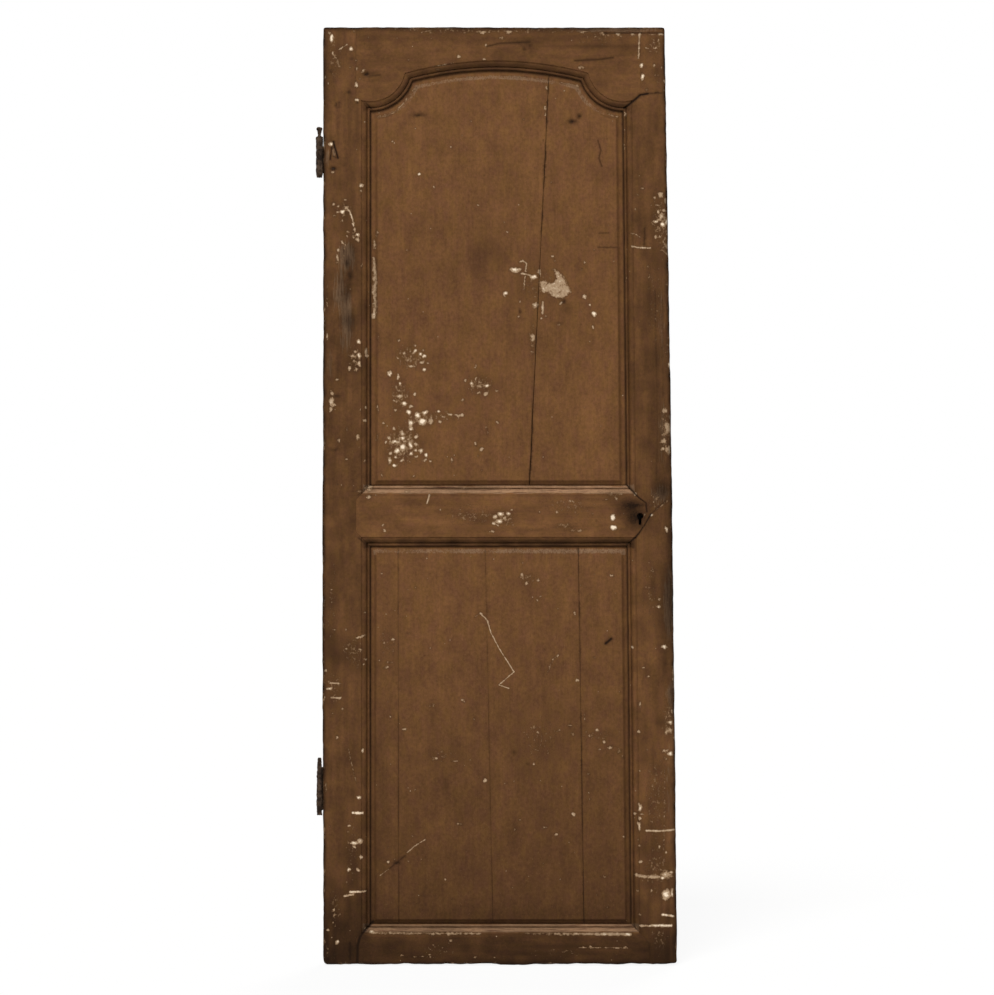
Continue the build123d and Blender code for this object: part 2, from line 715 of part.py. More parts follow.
# Upper knuckle: tapered mouth, barrel, ring, neck and a round finial
with BuildPart() as upper_hinge_knuckle:
    ring_low = upper_mouth + UPPER_BARREL_LENGTH
    ring_high = ring_low + UPPER_RING_HEIGHT
    neck_high = ring_high + UPPER_NECK_HEIGHT
    finial_high = neck_high + UPPER_FINIAL_HEIGHT
    with BuildSketch(Plane.XZ):
        with BuildLine():
            Polyline(
                (0, upper_mouth),
                (KNUCKLE_MOUTH_RADIUS, upper_mouth),
                (UPPER_KNUCKLE_RADIUS, upper_mouth + UPPER_MOUTH_TAPER),
                (UPPER_KNUCKLE_RADIUS, ring_low),
            )
            ThreePointArc(
                (UPPER_KNUCKLE_RADIUS, ring_low),
                (UPPER_RING_RADIUS, (ring_low + ring_high) / 2),
                (UPPER_KNUCKLE_RADIUS, ring_high),
            )
            Spline(
                (UPPER_KNUCKLE_RADIUS, ring_high),
                (UPPER_NECK_RADIUS, neck_high),
                (UPPER_FINIAL_RADIUS, (neck_high + finial_high) / 2),
                (0, finial_high),
                tangents=((-1, 0), (-1, 0)),
            )
            Line((0, finial_high), (0, upper_mouth))
        make_face()
    revolve(axis=Axis.Z)
    add(hinge_plate(upper_plate_at, UPPER_KNUCKLE_RADIUS, 0))
    with BuildSketch(Plane.XY.offset(upper_mouth)):
        Circle(HINGE_BORE_RADIUS)
    extrude(amount=HINGE_BORE_DEPTH, mode=Mode.SUBTRACT)
    add(hinge_pin_set(upper_plate_at, PIN_CLEARANCE), mode=Mode.SUBTRACT)
upper_hinge_knuckle.part.label = "upper_hinge_knuckle"
export_step(upper_hinge_knuckle.part, "parts/upper_hinge_knuckle.step")

# Lower knuckle: a plain spindle that swells in the middle and ends in a blunt tip
with BuildPart() as lower_hinge_knuckle:
    spindle_high = lower_mouth + LOWER_KNUCKLE_LENGTH
    tip_high = spindle_high + LOWER_TIP_HEIGHT
    with BuildSketch(Plane.XZ):
        with BuildLine():
            Line((0, lower_mouth), (KNUCKLE_MOUTH_RADIUS, lower_mouth))
            ThreePointArc(
                (KNUCKLE_MOUTH_RADIUS, lower_mouth),
                (LOWER_KNUCKLE_RADIUS, (lower_mouth + spindle_high) / 2),
                (LOWER_NECK_RADIUS, spindle_high),
            )
            Spline(
                (LOWER_NECK_RADIUS, spindle_high),
                (0, tip_high),
                tangents=((0, 1), (-1, 0)),
            )
            Line((0, tip_high), (0, lower_mouth))
        make_face()
    revolve(axis=Axis.Z)
    add(hinge_plate(lower_plate_at, LOWER_KNUCKLE_RADIUS, 0))
    with BuildSketch(Plane.XY.offset(lower_mouth)):
        Circle(HINGE_BORE_RADIUS)
    extrude(amount=HINGE_BORE_DEPTH, mode=Mode.SUBTRACT)
    add(hinge_pin_set(lower_plate_at, PIN_CLEARANCE), mode=Mode.SUBTRACT)
lower_hinge_knuckle.part.label = "lower_hinge_knuckle"
export_step(lower_hinge_knuckle.part, "parts/lower_hinge_knuckle.step")

with BuildPart() as upper_hinge_pins:
    add(hinge_pin_set(upper_plate_at, 0))
upper_hinge_pins.part.label = "upper_hinge_pins"
export_step(upper_hinge_pins.part, "parts/upper_hinge_pins.step")

with BuildPart() as lower_hinge_pins:
    add(hinge_pin_set(lower_plate_at, 0))
lower_hinge_pins.part.label = "lower_hinge_pins"
export_step(lower_hinge_pins.part, "parts/lower_hinge_pins.step")

# Rim lock: a case folded from sheet, open towards the door
with BuildPart() as lock_case:
    case_middle = ((case_hinge + case_lock) / 2, (case_low + case_high) / 2)
    with BuildSketch(layer(case_back)):
        with Locations(case_middle):
            RectangleRounded(CASE_WIDTH, CASE_HEIGHT, CASE_CORNER_RADIUS)
    extrude(amount=CASE_DEPTH)
    with BuildSketch(layer(case_inner)):
        with Locations(case_middle):
            RectangleRounded(
                CASE_WIDTH - CASE_SHEET - CASE_SHEET,
                CASE_HEIGHT - CASE_SHEET - CASE_SHEET,
                CASE_CORNER_RADIUS - CASE_SHEET,
            )
    extrude(amount=CASE_DEPTH, mode=Mode.SUBTRACT)
    with BuildSketch(layer(bolt_back + RUNNING_GAP)):
        Polygon(
            (case_lock - CASE_CORNER_RADIUS, bolt_low - RUNNING_GAP),
            (case_lock + OVERRUN, bolt_low - RUNNING_GAP),
            (case_lock + OVERRUN, bolt_high + RUNNING_GAP),
            (case_lock - CASE_CORNER_RADIUS, bolt_high + RUNNING_GAP),
            align=None,
        )
    extrude(amount=BOLT_THICKNESS + RUNNING_GAP + RUNNING_GAP, mode=Mode.SUBTRACT)
    add(nail_holes, mode=Mode.SUBTRACT)
lock_case.part.label = "lock_case"
export_step(lock_case.part, "parts/lock_case.step")

# Bolt, drawn back: nose flush with the case's edge, two key notches below
with BuildPart() as lock_bolt:
    tail = case_hinge + CASE_SHEET + BOLT_TAIL_GAP
    with BuildSketch(layer(bolt_back)):
        Polygon(
            (tail, bolt_low),
            (case_lock, bolt_low),
            (case_lock, bolt_high),
            (tail, bolt_high),
            align=None,
        )
        with Locations((key_x, bolt_low), (key_x - BOLT_THROW, bolt_low)):
            Rectangle(
                BOLT_NOTCH_WIDTH,
                BOLT_NOTCH_DEPTH,
                align=(Align.CENTER, Align.MIN),
                mode=Mode.SUBTRACT,
            )
    extrude(amount=BOLT_THICKNESS)
    nose = lock_bolt.part.faces().sort_by(Axis.X)[-1]
    fillet(nose.edges().filter_by(Axis.Z), BOLT_NOSE_RADIUS)
lock_bolt.part.label = "lock_bolt"
export_step(lock_bolt.part, "parts/lock_bolt.step")

# Staple that straddles the bolt's tail, its feet on the case
with BuildPart() as bolt_staple:
    leg_inner = BOLT_HEIGHT / 2 + RUNNING_GAP
    leg_outer = leg_inner + STAPLE_STRAP
    bridge = bolt_front - RUNNING_GAP
    bolt_middle = (bolt_low + bolt_high) / 2
    staple_plane = Plane(
        Vector(case_hinge + STAPLE_SET, 0, bolt_middle), x_dir=-Z_DIR, z_dir=X_DIR
    )
    with BuildSketch(staple_plane):
        Polygon(
            (-leg_outer, case_inner),
            (-leg_outer, bridge - STAPLE_STRAP),
            (leg_outer, bridge - STAPLE_STRAP),
            (leg_outer, case_inner),
            (leg_inner, case_inner),
            (leg_inner, bridge),
            (-leg_inner, bridge),
            (-leg_inner, case_inner),
            align=None,
        )
    extrude(amount=STAPLE_WIDTH)
bolt_staple.part.label = "bolt_staple"
export_step(bolt_staple.part, "parts/bolt_staple.step")

# Leaf spring: foot under the case's top wall, bowed down to the bolt
with BuildPart() as bolt_spring:
    roof = case_high - CASE_SHEET
    spring_start = case_hinge + SPRING_SET
    spring_bow = bolt_high + RUNNING_GAP
    spring_lift = spring_bow + SPRING_STRIP
    with BuildSketch(layer(bolt_back)):
        with BuildLine():
            Line((spring_start, roof), (spring_start, roof - SPRING_STRIP))
            Line((spring_start, roof - SPRING_STRIP), (spring_start + SPRING_FOOT, roof - SPRING_STRIP))
            Spline(
                (spring_start + SPRING_FOOT, roof - SPRING_STRIP),
                (spring_start + SPRING_LENGTH, spring_bow),
                tangents=((1, 0), (1, 0)),
            )
            Line((spring_start + SPRING_LENGTH, spring_bow), (spring_start + SPRING_LENGTH, spring_lift))
            Spline(
                (spring_start + SPRING_LENGTH, spring_lift),
                (spring_start + SPRING_FOOT, roof),
                tangents=((-1, 0), (-1, 0)),
            )
            Line((spring_start + SPRING_FOOT, roof), (spring_start, roof))
        make_face()
    extrude(amount=SPRING_DEPTH)
bolt_spring.part.label = "bolt_spring"
export_step(bolt_spring.part, "parts/bolt_spring.step")

with BuildPart() as lock_nails:
    add(lock_nail_set(0))
lock_nails.part.label = "lock_nails"
export_step(lock_nails.part, "parts/lock_nails.step")
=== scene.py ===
"""Old brown-painted door leaf: two stiles, three rails, a fielded panel under an arched and eared
head, a square fielded panel below, two lift-off hinge knuckles and a rim lock on the back."""

import math

import bpy
import numpy as np
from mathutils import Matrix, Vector
from mathutils.geometry import delaunay_2d_cdt


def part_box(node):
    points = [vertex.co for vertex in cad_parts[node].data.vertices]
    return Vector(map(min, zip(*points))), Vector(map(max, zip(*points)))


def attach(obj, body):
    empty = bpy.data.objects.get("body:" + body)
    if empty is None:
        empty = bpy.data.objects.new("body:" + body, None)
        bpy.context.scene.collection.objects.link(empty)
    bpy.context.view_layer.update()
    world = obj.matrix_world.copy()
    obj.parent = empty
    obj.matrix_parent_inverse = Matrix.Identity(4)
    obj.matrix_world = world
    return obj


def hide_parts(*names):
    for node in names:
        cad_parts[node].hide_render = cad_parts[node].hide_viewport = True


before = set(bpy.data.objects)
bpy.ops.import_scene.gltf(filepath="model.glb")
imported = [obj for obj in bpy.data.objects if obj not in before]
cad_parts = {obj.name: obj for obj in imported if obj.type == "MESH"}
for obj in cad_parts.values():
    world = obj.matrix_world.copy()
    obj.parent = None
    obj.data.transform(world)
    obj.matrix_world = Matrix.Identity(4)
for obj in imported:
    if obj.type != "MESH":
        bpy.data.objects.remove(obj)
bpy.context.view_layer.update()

bl_info = {
    "name": "Rustic door leaf",
    "version": (1, 0, 0),
    "blender": (4, 5, 0),
    "location": "3D View > Sidebar > Door",
    "description": "Builds a weathered frame-and-panel door leaf over its CAD frame",
    "category": "Object",
}

# Plan work is in millimetres of the row frame, meshes are in metres
MM = 0.001


def span(node, axis):
    """Lowest and highest millimetre of a CAD node along an axis."""
    low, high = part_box(node)
    return low[axis] / MM, high[axis] / MM


# Lines and levels of the leaf, read from the CAD nodes
HINGE_EDGE, HINGE_SIGHT = span("hinge_stile", 0)
BACK = span("hinge_stile", 1)[1]
FOOT, HEAD = span("hinge_stile", 2)
LOCK_SIGHT_HEAD, LOCK_EDGE_FOOT = span("lock_stile", 0)
LOWER_SILL = span("bottom_rail", 2)[1]
LOWER_HEAD, UPPER_SILL = span("lock_rail", 2)
EAR_FOOT = span("top_rail", 2)[0]

# Joiner's sizes that the CAD part is built from
LOCK_STILE_FOOT, LOCK_STILE_HEAD = 97.0, 90.0
ARCH_RADIUS, ARCH_CROWN, EAR_RADIUS = 720.0, HEAD - 90.0, 95.0
HINGE_SHOULDER, LOCK_SHOULDER, EAR_MITRE_RISE = 30.0, 38.0, 25.0
FILLET, FILLET_DEPTH, OVOLO, QUIRK, BEAD = 3.0, 2.2, 9.0, 1.0, 6.5
LIP_BACK, GROOVE_BACK = 13.0, 22.0
FIELD_DEPTH, FIELD_SLOPE, MARGIN_DEPTH, TONGUE_DEPTH, PANEL_BACK = 7.0, 6.5, 12.4, 13.2, 21.8
UPPER_JOINT = (0.62, 0.705)
LOWER_JOINTS = ((0.11, 0.108), (0.47, 0.448), (0.819, 0.809))
TENONS = {"bottom_rail": (-297.0, -244.0), "lock_rail": (584.0, 693.0), "top_rail": (1529.0, 1641.0)}
KEYHOLE, KEY_EYE, KEY_SLOT, KEY_DROP = (684.28, 638.0), 6.5, 5.5, 19.0
MOULDING = FILLET + OVOLO + QUIRK + BEAD
MOULDING_DEPTH = FILLET_DEPTH + OVOLO


def lock_edge(z):
    """X of the leaning lock edge."""
    lean = (z - FOOT) / (HEAD - FOOT)
    return LOCK_EDGE_FOOT + (LOCK_SIGHT_HEAD + LOCK_STILE_HEAD - LOCK_EDGE_FOOT) * lean


def lock_sight(z):
    """X of the leaning sight line on the lock side."""
    lean = (z - FOOT) / (HEAD - FOOT)
    return LOCK_EDGE_FOOT - LOCK_STILE_FOOT + (LOCK_SIGHT_HEAD - LOCK_EDGE_FOOT + LOCK_STILE_FOOT) * lean


SLANT = math.hypot(1.0, (lock_sight(HEAD) - lock_sight(FOOT)) / (HEAD - FOOT))
ARCH_CENTRE = ((HINGE_SIGHT + lock_sight(ARCH_CROWN)) / 2, ARCH_CROWN - ARCH_RADIUS)
EARS = ((HINGE_SIGHT, EAR_FOOT + EAR_RADIUS), (lock_sight(EAR_FOOT), EAR_FOOT + EAR_RADIUS))

# How the photograph lies on the face: millimetres per pixel, hinge edge column, foot row
PIXEL, PHOTO_LEFT, PHOTO_FOOT = 2.134, 323.3, 964.5


def on_leaf(px, py):
    """Plan point of a pixel of the photograph."""
    return HINGE_EDGE + (px - PHOTO_LEFT) * PIXEL, FOOT + (PHOTO_FOOT - py) * PIXEL


# Marks of age, placed by pixels of the photograph

# Paint chipped or rubbed through: x, y, half width, half height, strength
# A strength of 0.4 is rubbed, 0.7 chipped and 1.2 chipped white
CHIPS = (
    # head of the leaf and top rail
    (331.8, 38.5, 1.6, 4.2, 1.2), (329.5, 33.5, 2, 2, 0.62), (333, 53.2, 1.4, 1.8, 1.0),
    (351, 48.8, 2, 2, 1.0), (338, 62, 1.2, 5, 0.6), (356.4, 84.5, 1.7, 2.8, 0.95),
    (356.9, 99.8, 1.8, 1.6, 1.0), (363, 71, 2, 2, 0.6), (356.5, 60, 1.3, 1.3, 0.6),
    (350.5, 67, 1.3, 1.3, 0.55), (357, 68.5, 2, 1.6, 0.58), (360, 79, 1.6, 1.2, 0.55),
    (325, 76.5, 1.3, 1.8, 0.8), (328.5, 84, 1.2, 2, 0.6), (641.6, 65.6, 1.8, 1.7, 1.0),
    (642.7, 76.5, 1.7, 3, 1.1), (654, 65, 1.4, 2.6, 0.66), (648, 48, 3.2, 1.2, 0.64),
    (656, 48.5, 2.2, 1.6, 0.68), (655, 42.5, 2, 1.6, 0.62), (658.5, 39.5, 1.6, 1.6, 0.6),
    (664.5, 82, 1.2, 2.6, 1.0), (646.5, 90, 1.8, 2, 0.6), (662, 67, 1.2, 2.4, 0.6), (618, 33.5, 4, 1.2, 0.72),
    (632.5, 34.5, 2, 1.4, 0.8), (661, 34.2, 3.4, 1.2, 0.85), (640, 34.5, 1.8, 2.6, 0.82),
    (480, 31, 3, 1.2, 0.6), (508, 31, 3, 1.2, 0.6), (584, 31.5, 5, 1.4, 0.62), (604, 34, 6, 2, 0.56),
    (354, 31.5, 1.6, 1.6, 0.56), (581, 67.4, 4.2, 1.8, 0.6), (625, 114, 1.4, 4, 0.66),
    # (470, 76.8) and (520, 76.5) are a painted highlight on the arch's upward slope, laid on as rubbed paint
    (624.6, 146, 1.2, 4, 0.6), (470, 76.8, 10, 1.2, 0.45), (520, 76.5, 12, 1.2, 0.45),
    (427.5, 31.3, 3, 1.3, 0.66), (482.3, 32.3, 4, 1.4, 0.8), (509.3, 31.9, 2.2, 1.6, 0.9),
    (486, 45, 1.6, 1.6, 0.68), (458.6, 57.1, 2, 1.8, 0.84), (484.7, 59.5, 2.4, 1.4, 0.7),
    (501.4, 37.8, 3, 1.4, 0.58), (408.7, 59.5, 1.6, 2, 0.45), (437.3, 69.3, 2.4, 1.2, 0.55),
    # upper panel
    (546.5, 88, 1.4, 3, 0.66), (545.5, 108, 1.2, 3, 0.66), (545, 113, 1.2, 1.6, 0.72),
    (543.5, 140, 1, 1.4, 0.6), (419, 174, 1.5, 1.7, 0.95), (434, 186, 1.2, 1.2, 0.7),
    (451, 147, 1.2, 1.3, 0.7), (392, 141, 1.2, 1.2, 0.66), (507, 232, 1.3, 1.3, 0.7),
    (430, 228, 1.1, 1.1, 0.6), (478, 205, 1.0, 1.0, 0.6), (515.4, 269.9, 5, 2.4, 0.95),
    (533.6, 276.4, 3.6, 2.2, 1.0), (539.5, 271.5, 2.4, 2.8, 0.8), (535.8, 305, 3, 2.8, 0.85),
    (545.5, 316, 1.5, 1.5, 0.6), (505.7, 293.5, 2.1, 2.2, 1.1), (584.7, 296.2, 1.8, 2, 1.0),
    (589.4, 304.6, 1.5, 1.6, 0.8), (593.8, 314, 2, 2.1, 1.15), (593, 327.4, 1.5, 1.7, 0.8),
    (519, 317, 1.5, 2, 0.7), (520, 301.6, 1.2, 1.5, 0.62), (532.8, 337.7, 2.2, 4, 0.8),
    (552.2, 255.7, 1.5, 1.5, 0.72), (555, 260.7, 1.1, 1.1, 0.6), (541, 318, 1.2, 1.2, 0.64),
    (560.6, 303, 1.4, 1.5, 0.95), (559.5, 323.5, 4, 2.5, 0.5), (585, 262.5, 1.4, 1.8, 0.58),
    (581.8, 269, 1.2, 1.2, 0.56), (378, 338, 2, 8, 0.4),
    # scattered flakes at the lower left of the upper panel
    (398.7, 340, 2, 1.8, 0.72), (404.4, 353.4, 2, 1.5, 0.74), (398, 357.8, 1.6, 1.4, 0.66),
    (414.4, 350.6, 2, 2, 0.98), (421, 354, 1.7, 1.8, 0.95), (424.5, 356.3, 2, 1.8, 1.05),
    (422, 361.6, 2.4, 1.8, 0.8), (427.8, 362.5, 1.6, 1.5, 0.7), (412, 365.9, 3.6, 1.4, 0.85),
    (424, 369.7, 1.7, 1.8, 0.98), (415.4, 345.8, 1.6, 1.6, 0.68), (422.6, 350, 2, 1.6, 0.66),
    (410, 355, 18, 14, 0.36), (389.6, 373, 1.6, 3, 0.95), (398.2, 376.9, 1.6, 2.6, 0.92),
    (399.6, 383.6, 1.6, 1.7, 0.85), (399.6, 396, 1.9, 2, 1.05), (393.9, 400.8, 1.5, 1.6, 0.66),
    (404.4, 403.2, 2.1, 2.2, 1.05), (414.9, 394.1, 1.3, 2.6, 0.86), (411.1, 406.6, 1.8, 2, 0.85),
    (395.8, 410.4, 2, 1.9, 0.8), (408.7, 411.8, 2.4, 2, 1.05), (402, 398, 12, 22, 0.38),
    (417.8, 415.2, 2.6, 2.8, 1.15), (425, 412.3, 2.2, 2, 1.15), (422.1, 421.4, 4.4, 2.8, 1.2),
    (431.2, 420, 2.4, 3.4, 0.9), (410.6, 423.3, 2.4, 3.2, 1.1), (411, 428.2, 2.2, 1.8, 1.05),
    (438.9, 411.3, 1.6, 1.5, 0.95), (443.2, 416.6, 2.5, 1.4, 0.8), (439.8, 421.9, 2.5, 1.4, 0.8),
    (449.9, 414.7, 2.5, 1.2, 0.78), (457.5, 415.2, 3, 1.2, 0.88), (461.8, 414.7, 1.7, 1.6, 0.95),
    (393.9, 428.6, 1.7, 2.2, 0.9), (402, 433.3, 2, 2.6, 1.0), (395.8, 442, 5, 1.6, 1.05),
    (402.5, 438.6, 2.4, 2, 1.05), (403, 447.2, 3, 2.4, 1.2), (397.2, 451, 3, 2.2, 1.12),
    (390.5, 453.4, 2.4, 1.8, 0.98), (410.6, 444.8, 2, 4.6, 0.98), (415.9, 436.2, 1.9, 2, 0.95),
    (415.9, 443.9, 1.7, 1.8, 0.9), (420.7, 451, 1.9, 2.4, 1.12), (415.4, 450.6, 1.6, 1.7, 0.9),
    (411.1, 453.4, 1.9, 1.6, 0.95), (415.9, 456.8, 1.9, 1.6, 0.84), (425.9, 455.4, 2.1, 1.9, 1.05),
    (425, 460, 1.7, 1.5, 0.9), (430.2, 461.1, 1.6, 1.5, 0.92), (389.6, 461, 1.9, 3.2, 0.98),
    (393.9, 465.9, 1.7, 1.7, 0.94), (395.8, 457.3, 1.6, 1.5, 0.85), (401.5, 460.1, 1.6, 1.5, 0.84),
    (385.7, 442, 1.3, 1.5, 0.85), (389.6, 438.1, 1.7, 2.2, 0.86), (406, 440, 16, 20, 0.42),
    (383.8, 423.3, 1.6, 1.3, 0.66), (382, 474.5, 1.5, 3, 0.56), (413.5, 476.4, 2, 1.4, 0.6),
    (464.7, 380.2, 1.7, 1.7, 0.72), (471.4, 383.6, 1.4, 3.2, 0.9), (475.7, 378.3, 1, 2.4, 0.85),
    (475.7, 366.4, 1, 3, 0.62), (479, 385.5, 3, 3, 0.64), (486.7, 385.5, 1.8, 1.7, 1.0),
    (485.7, 393.6, 2.4, 2, 0.95), (479.5, 392.6, 3, 1.6, 0.58), (496.7, 390.3, 1.3, 1.4, 0.68),
    (462.8, 399.4, 2, 1.6, 0.7), (479, 383, 12, 12, 0.36), (475.7, 443.4, 1.5, 2.4, 0.85),
    (481.4, 449.1, 2, 1.6, 0.76), (478, 455.4, 1.6, 1.6, 0.6), (451.8, 459.7, 1.3, 2.4, 0.74),
    (497.7, 422.3, 1.5, 1.6, 0.7), (454.6, 454.9, 1.2, 1.4, 0.6), (481.4, 470.2, 1.3, 1.3, 0.64),
    (447, 456.8, 1.3, 1.2, 0.58), (487, 430, 1.2, 7, 0.45),
    # hinge stile, from the head down
    (331, 143.6, 1.9, 2, 1.15), (332.5, 172.3, 2.4, 1.2, 0.7), (361.4, 185.5, 1.9, 1.8, 0.98),
    (361.3, 190.5, 1.5, 1.8, 0.85), (361, 196.5, 1.2, 1.2, 0.6), (342.6, 211.8, 2, 2, 1.15),
    (346, 208, 1.9, 1.8, 0.82), (345.8, 200.5, 1.5, 1.3, 0.68), (334, 204.5, 2, 2, 0.66),
    (338.3, 205.6, 1.8, 1.8, 0.64), (337.8, 212.6, 1.8, 1.4, 0.72), (334.5, 215.8, 2, 1.5, 0.62),
    (353.4, 223.5, 1.4, 1.6, 0.86), (355.5, 229.5, 1.9, 1.6, 0.76), (357.8, 234.5, 2.3, 2, 0.92),
    (357.5, 239.8, 2.2, 2.2, 0.98), (353.5, 237, 1.6, 1.4, 0.66), (346.5, 236, 2.2, 1.6, 0.6),
    (347.4, 232, 2, 1.2, 0.56), (342.4, 242, 1.8, 2.2, 0.82), (337.8, 249.8, 1.6, 2, 0.76),
    (337.2, 258.5, 1.7, 5, 0.72), (362, 266, 1.6, 1.8, 0.6), (326.5, 336, 1, 5, 0.66),
    (358.6, 341.8, 1.7, 2.2, 0.95), (365.6, 351.5, 1.5, 3.6, 0.84), (366.2, 356, 2, 1.5, 0.84),
    (355.3, 352.3, 1.8, 1.5, 0.76), (359.3, 355.5, 1.8, 3, 0.94), (352.4, 356.5, 1.8, 1.6, 0.78),
    (358.6, 363.6, 1.6, 2, 1.0), (349.8, 368.4, 1.7, 2.8, 0.95), (356, 369.8, 1.8, 1.8, 0.72),
    (354.6, 360.5, 2.6, 1.8, 0.66), (337, 379, 1.9, 1.4, 0.78), (331.4, 393, 2, 3.4, 0.8),
    (332, 401.5, 2.3, 4.4, 0.85), (333.6, 405.2, 1.9, 1.6, 0.8), (330.6, 410, 1.6, 4, 0.72),
    (365.5, 407, 1.6, 2, 0.76), (365, 420.2, 2, 1.8, 0.86), (360.5, 410, 1, 1.6, 0.6),
    (347, 429, 1.5, 1.5, 0.6), (358, 437, 2, 3.4, 0.68), (338.3, 440.5, 1.7, 2.4, 0.74),
    (346.5, 459, 1.4, 2, 0.58), (364.4, 461.5, 1.4, 2.6, 0.62), (326.8, 300, 1.4, 26, 0.42),
    (374.5, 262, 2.6, 4, 0.7), (375, 279, 2.2, 8, 0.6), (374, 296, 2.6, 16, 0.62),
    (373.6, 315, 2.6, 3.4, 0.86), (374, 244, 2, 6, 0.6), (377, 232, 1.5, 5, 0.56), (378, 408, 1.4, 5, 0.6),
    (378, 437.5, 1.2, 4, 0.6), (364.4, 612.7, 1.5, 1.5, 0.72), (335, 629.7, 2, 1.5, 0.58),
    (345.9, 629.7, 1.4, 1.3, 0.6), (346.2, 648.8, 1.5, 1.4, 0.82), (360.4, 649.7, 2.8, 1.6, 0.76),
    (365.3, 659.3, 1.4, 1.4, 0.78), (364, 664, 1.6, 1.5, 0.78), (359, 663, 6, 9, 0.38),
    (325.9, 670.6, 1.4, 1.5, 0.9), (330, 688.3, 3.6, 1.3, 0.85), (325.9, 696.9, 1.3, 1.5, 0.8),
    (340.5, 698, 1.5, 1.4, 1.0), (330, 680, 6, 10, 0.36), (342.8, 709, 1.4, 1.8, 0.58),
    (333, 713, 1.4, 1.2, 0.56), (337, 737.5, 1.3, 2.2, 0.8), (362.5, 750.8, 1.6, 2.3, 0.86),
    (326, 787, 1.2, 6, 0.56), (359.2, 797.3, 2.4, 1.7, 1.0), (349.5, 826, 2.3, 1.1, 0.76),
    (354.4, 843, 4, 1.8, 0.95), (359.8, 840.6, 2.6, 2.4, 1.0), (354.4, 846.6, 1.7, 1.7, 0.95),
    (361, 857, 1.6, 2.4, 0.92), (348.9, 869.9, 1.9, 1.7, 0.92), (358.6, 869.6, 2.4, 1.6, 0.88),
    (346.5, 882, 1.3, 1.3, 0.56), (328, 930, 1.4, 1.5, 0.82), (337.6, 942.3, 1.4, 2.2, 1.0),
    (365.3, 929, 1.6, 1.7, 0.98), (371.9, 932.2, 2.8, 1.8, 0.98), (378.6, 933.2, 2, 1.8, 0.76),
    (333.4, 910, 1.4, 1.4, 0.66), (333, 923, 1.5, 2, 0.56), (327.5, 948, 1.1, 10, 0.5),
    (333, 955, 8, 8, 0.33),
    # lock rail
    (612.5, 517.2, 2, 2.5, 1.3), (613.5, 527.4, 2.8, 1.9, 1.35), (635.2, 493.8, 2.3, 1.9, 0.84),
    (651.3, 515.2, 1.9, 1.5, 0.98), (645.4, 514.7, 1.1, 1.5, 0.7), (616.3, 498.4, 2, 1.5, 0.7),
    # (615, 489) here and (470, 489) below lay rubbed paint along the lock rail's upward moulding, partly a
    # painted highlight
    (606, 499.6, 3, 1, 0.66), (615, 489, 13, 2.4, 0.42), (500.5, 513.7, 3.2, 2.2, 1.0),
    (508.4, 514.5, 2.4, 1.9, 1.0), (495, 517, 2.4, 2, 0.95), (499, 521, 3.2, 2.2, 0.92),
    (504.5, 518.5, 2.4, 2, 0.85), (494, 523.5, 1.9, 1.7, 0.9), (497.5, 525, 2, 1.5, 0.82),
    (492.6, 531.3, 1.5, 1.5, 0.85), (511.5, 510, 1.5, 1.4, 0.7), (501, 519, 11, 9, 0.42),
    (369, 488.5, 4, 3.4, 0.75), (369, 497, 2.4, 2, 0.85), (360, 491.5, 4, 1.8, 0.6),
    (383, 525, 1.4, 1.5, 0.8), (384, 530.5, 1.4, 1.4, 0.8), (407, 491.5, 3, 1.2, 0.66),
    (540, 512, 1.6, 1.5, 0.7), (557, 512, 1.6, 1.5, 0.7), (470, 489, 46, 2, 0.36), (440, 510, 1.2, 1.2, 0.56),
    (575, 505, 1.2, 1.2, 0.56), (592, 514, 1.5, 3, 0.45), (577, 530, 13, 2.2, 0.46),
    (571.6, 501, 3, 1.5, 0.6), (536, 530, 10, 2, 0.36),
    # lock stile, from the head down
    (659.7, 194.9, 2.8, 3.2, 0.84), (665.5, 201.5, 1.4, 3.8, 0.74), (653.9, 198, 1.2, 4, 0.62),
    (658, 205.6, 5, 1, 0.6), (657.2, 212.3, 1.5, 1.6, 0.86), (663, 210.6, 1.8, 1.8, 0.84),
    (661, 216.4, 1.5, 3.6, 0.9), (655.6, 221.8, 2.4, 1.9, 1.0), (662.6, 225.1, 2.1, 2.2, 1.25),
    (666, 221.4, 1.5, 3.6, 1.0), (668.6, 217.3, 1.2, 3, 0.8), (662, 219, 8, 10, 0.52),
    (666.3, 233.8, 1.3, 1.4, 0.82), (654.7, 237.2, 2, 1.8, 0.7), (658.5, 236.3, 1.6, 1.5, 0.66),
    (666.8, 246.3, 2.3, 4.6, 0.74), (666.3, 253.7, 1.8, 1.8, 0.72), (664, 245, 6, 14, 0.46),
    (642.3, 188.7, 2.4, 1.2, 0.68), (638, 194.9, 1.5, 1.7, 0.66), (635.2, 208.6, 1.0, 1.0, 0.66),
    (648.5, 267, 1, 3, 0.58), (649, 277, 1.4, 4, 0.6), (625.7, 278.6, 1, 3, 0.58),
    (667.6, 282, 1.4, 16, 0.45), (669, 365, 1.4, 3, 0.86), (664, 411, 2.6, 3, 0.8), (667, 428, 3.6, 6, 0.8),
    (663, 441, 2.6, 3, 0.86), (668, 450, 3, 5, 0.82), (662, 449, 2, 3, 0.72), (669, 416, 1.8, 4, 0.7),
    (655, 330, 2, 40, 0.33), (665.6, 529.5, 1.2, 3.4, 1.05), (652.4, 570.9, 2.4, 1.9, 0.62),
    (658.2, 599, 2, 1.5, 0.72), (658.4, 606.9, 1.7, 1.6, 0.95), (654.3, 626, 1.2, 1.2, 0.6),
    (663.9, 647, 2.2, 1.7, 1.25), (633, 647, 1.5, 1.5, 1.0), (644, 668, 1.5, 1.3, 0.6),
    (648.3, 676.6, 1.9, 1.3, 0.6), (620.5, 692.4, 1.2, 1.3, 0.58), (639.6, 704, 2, 3, 0.64),
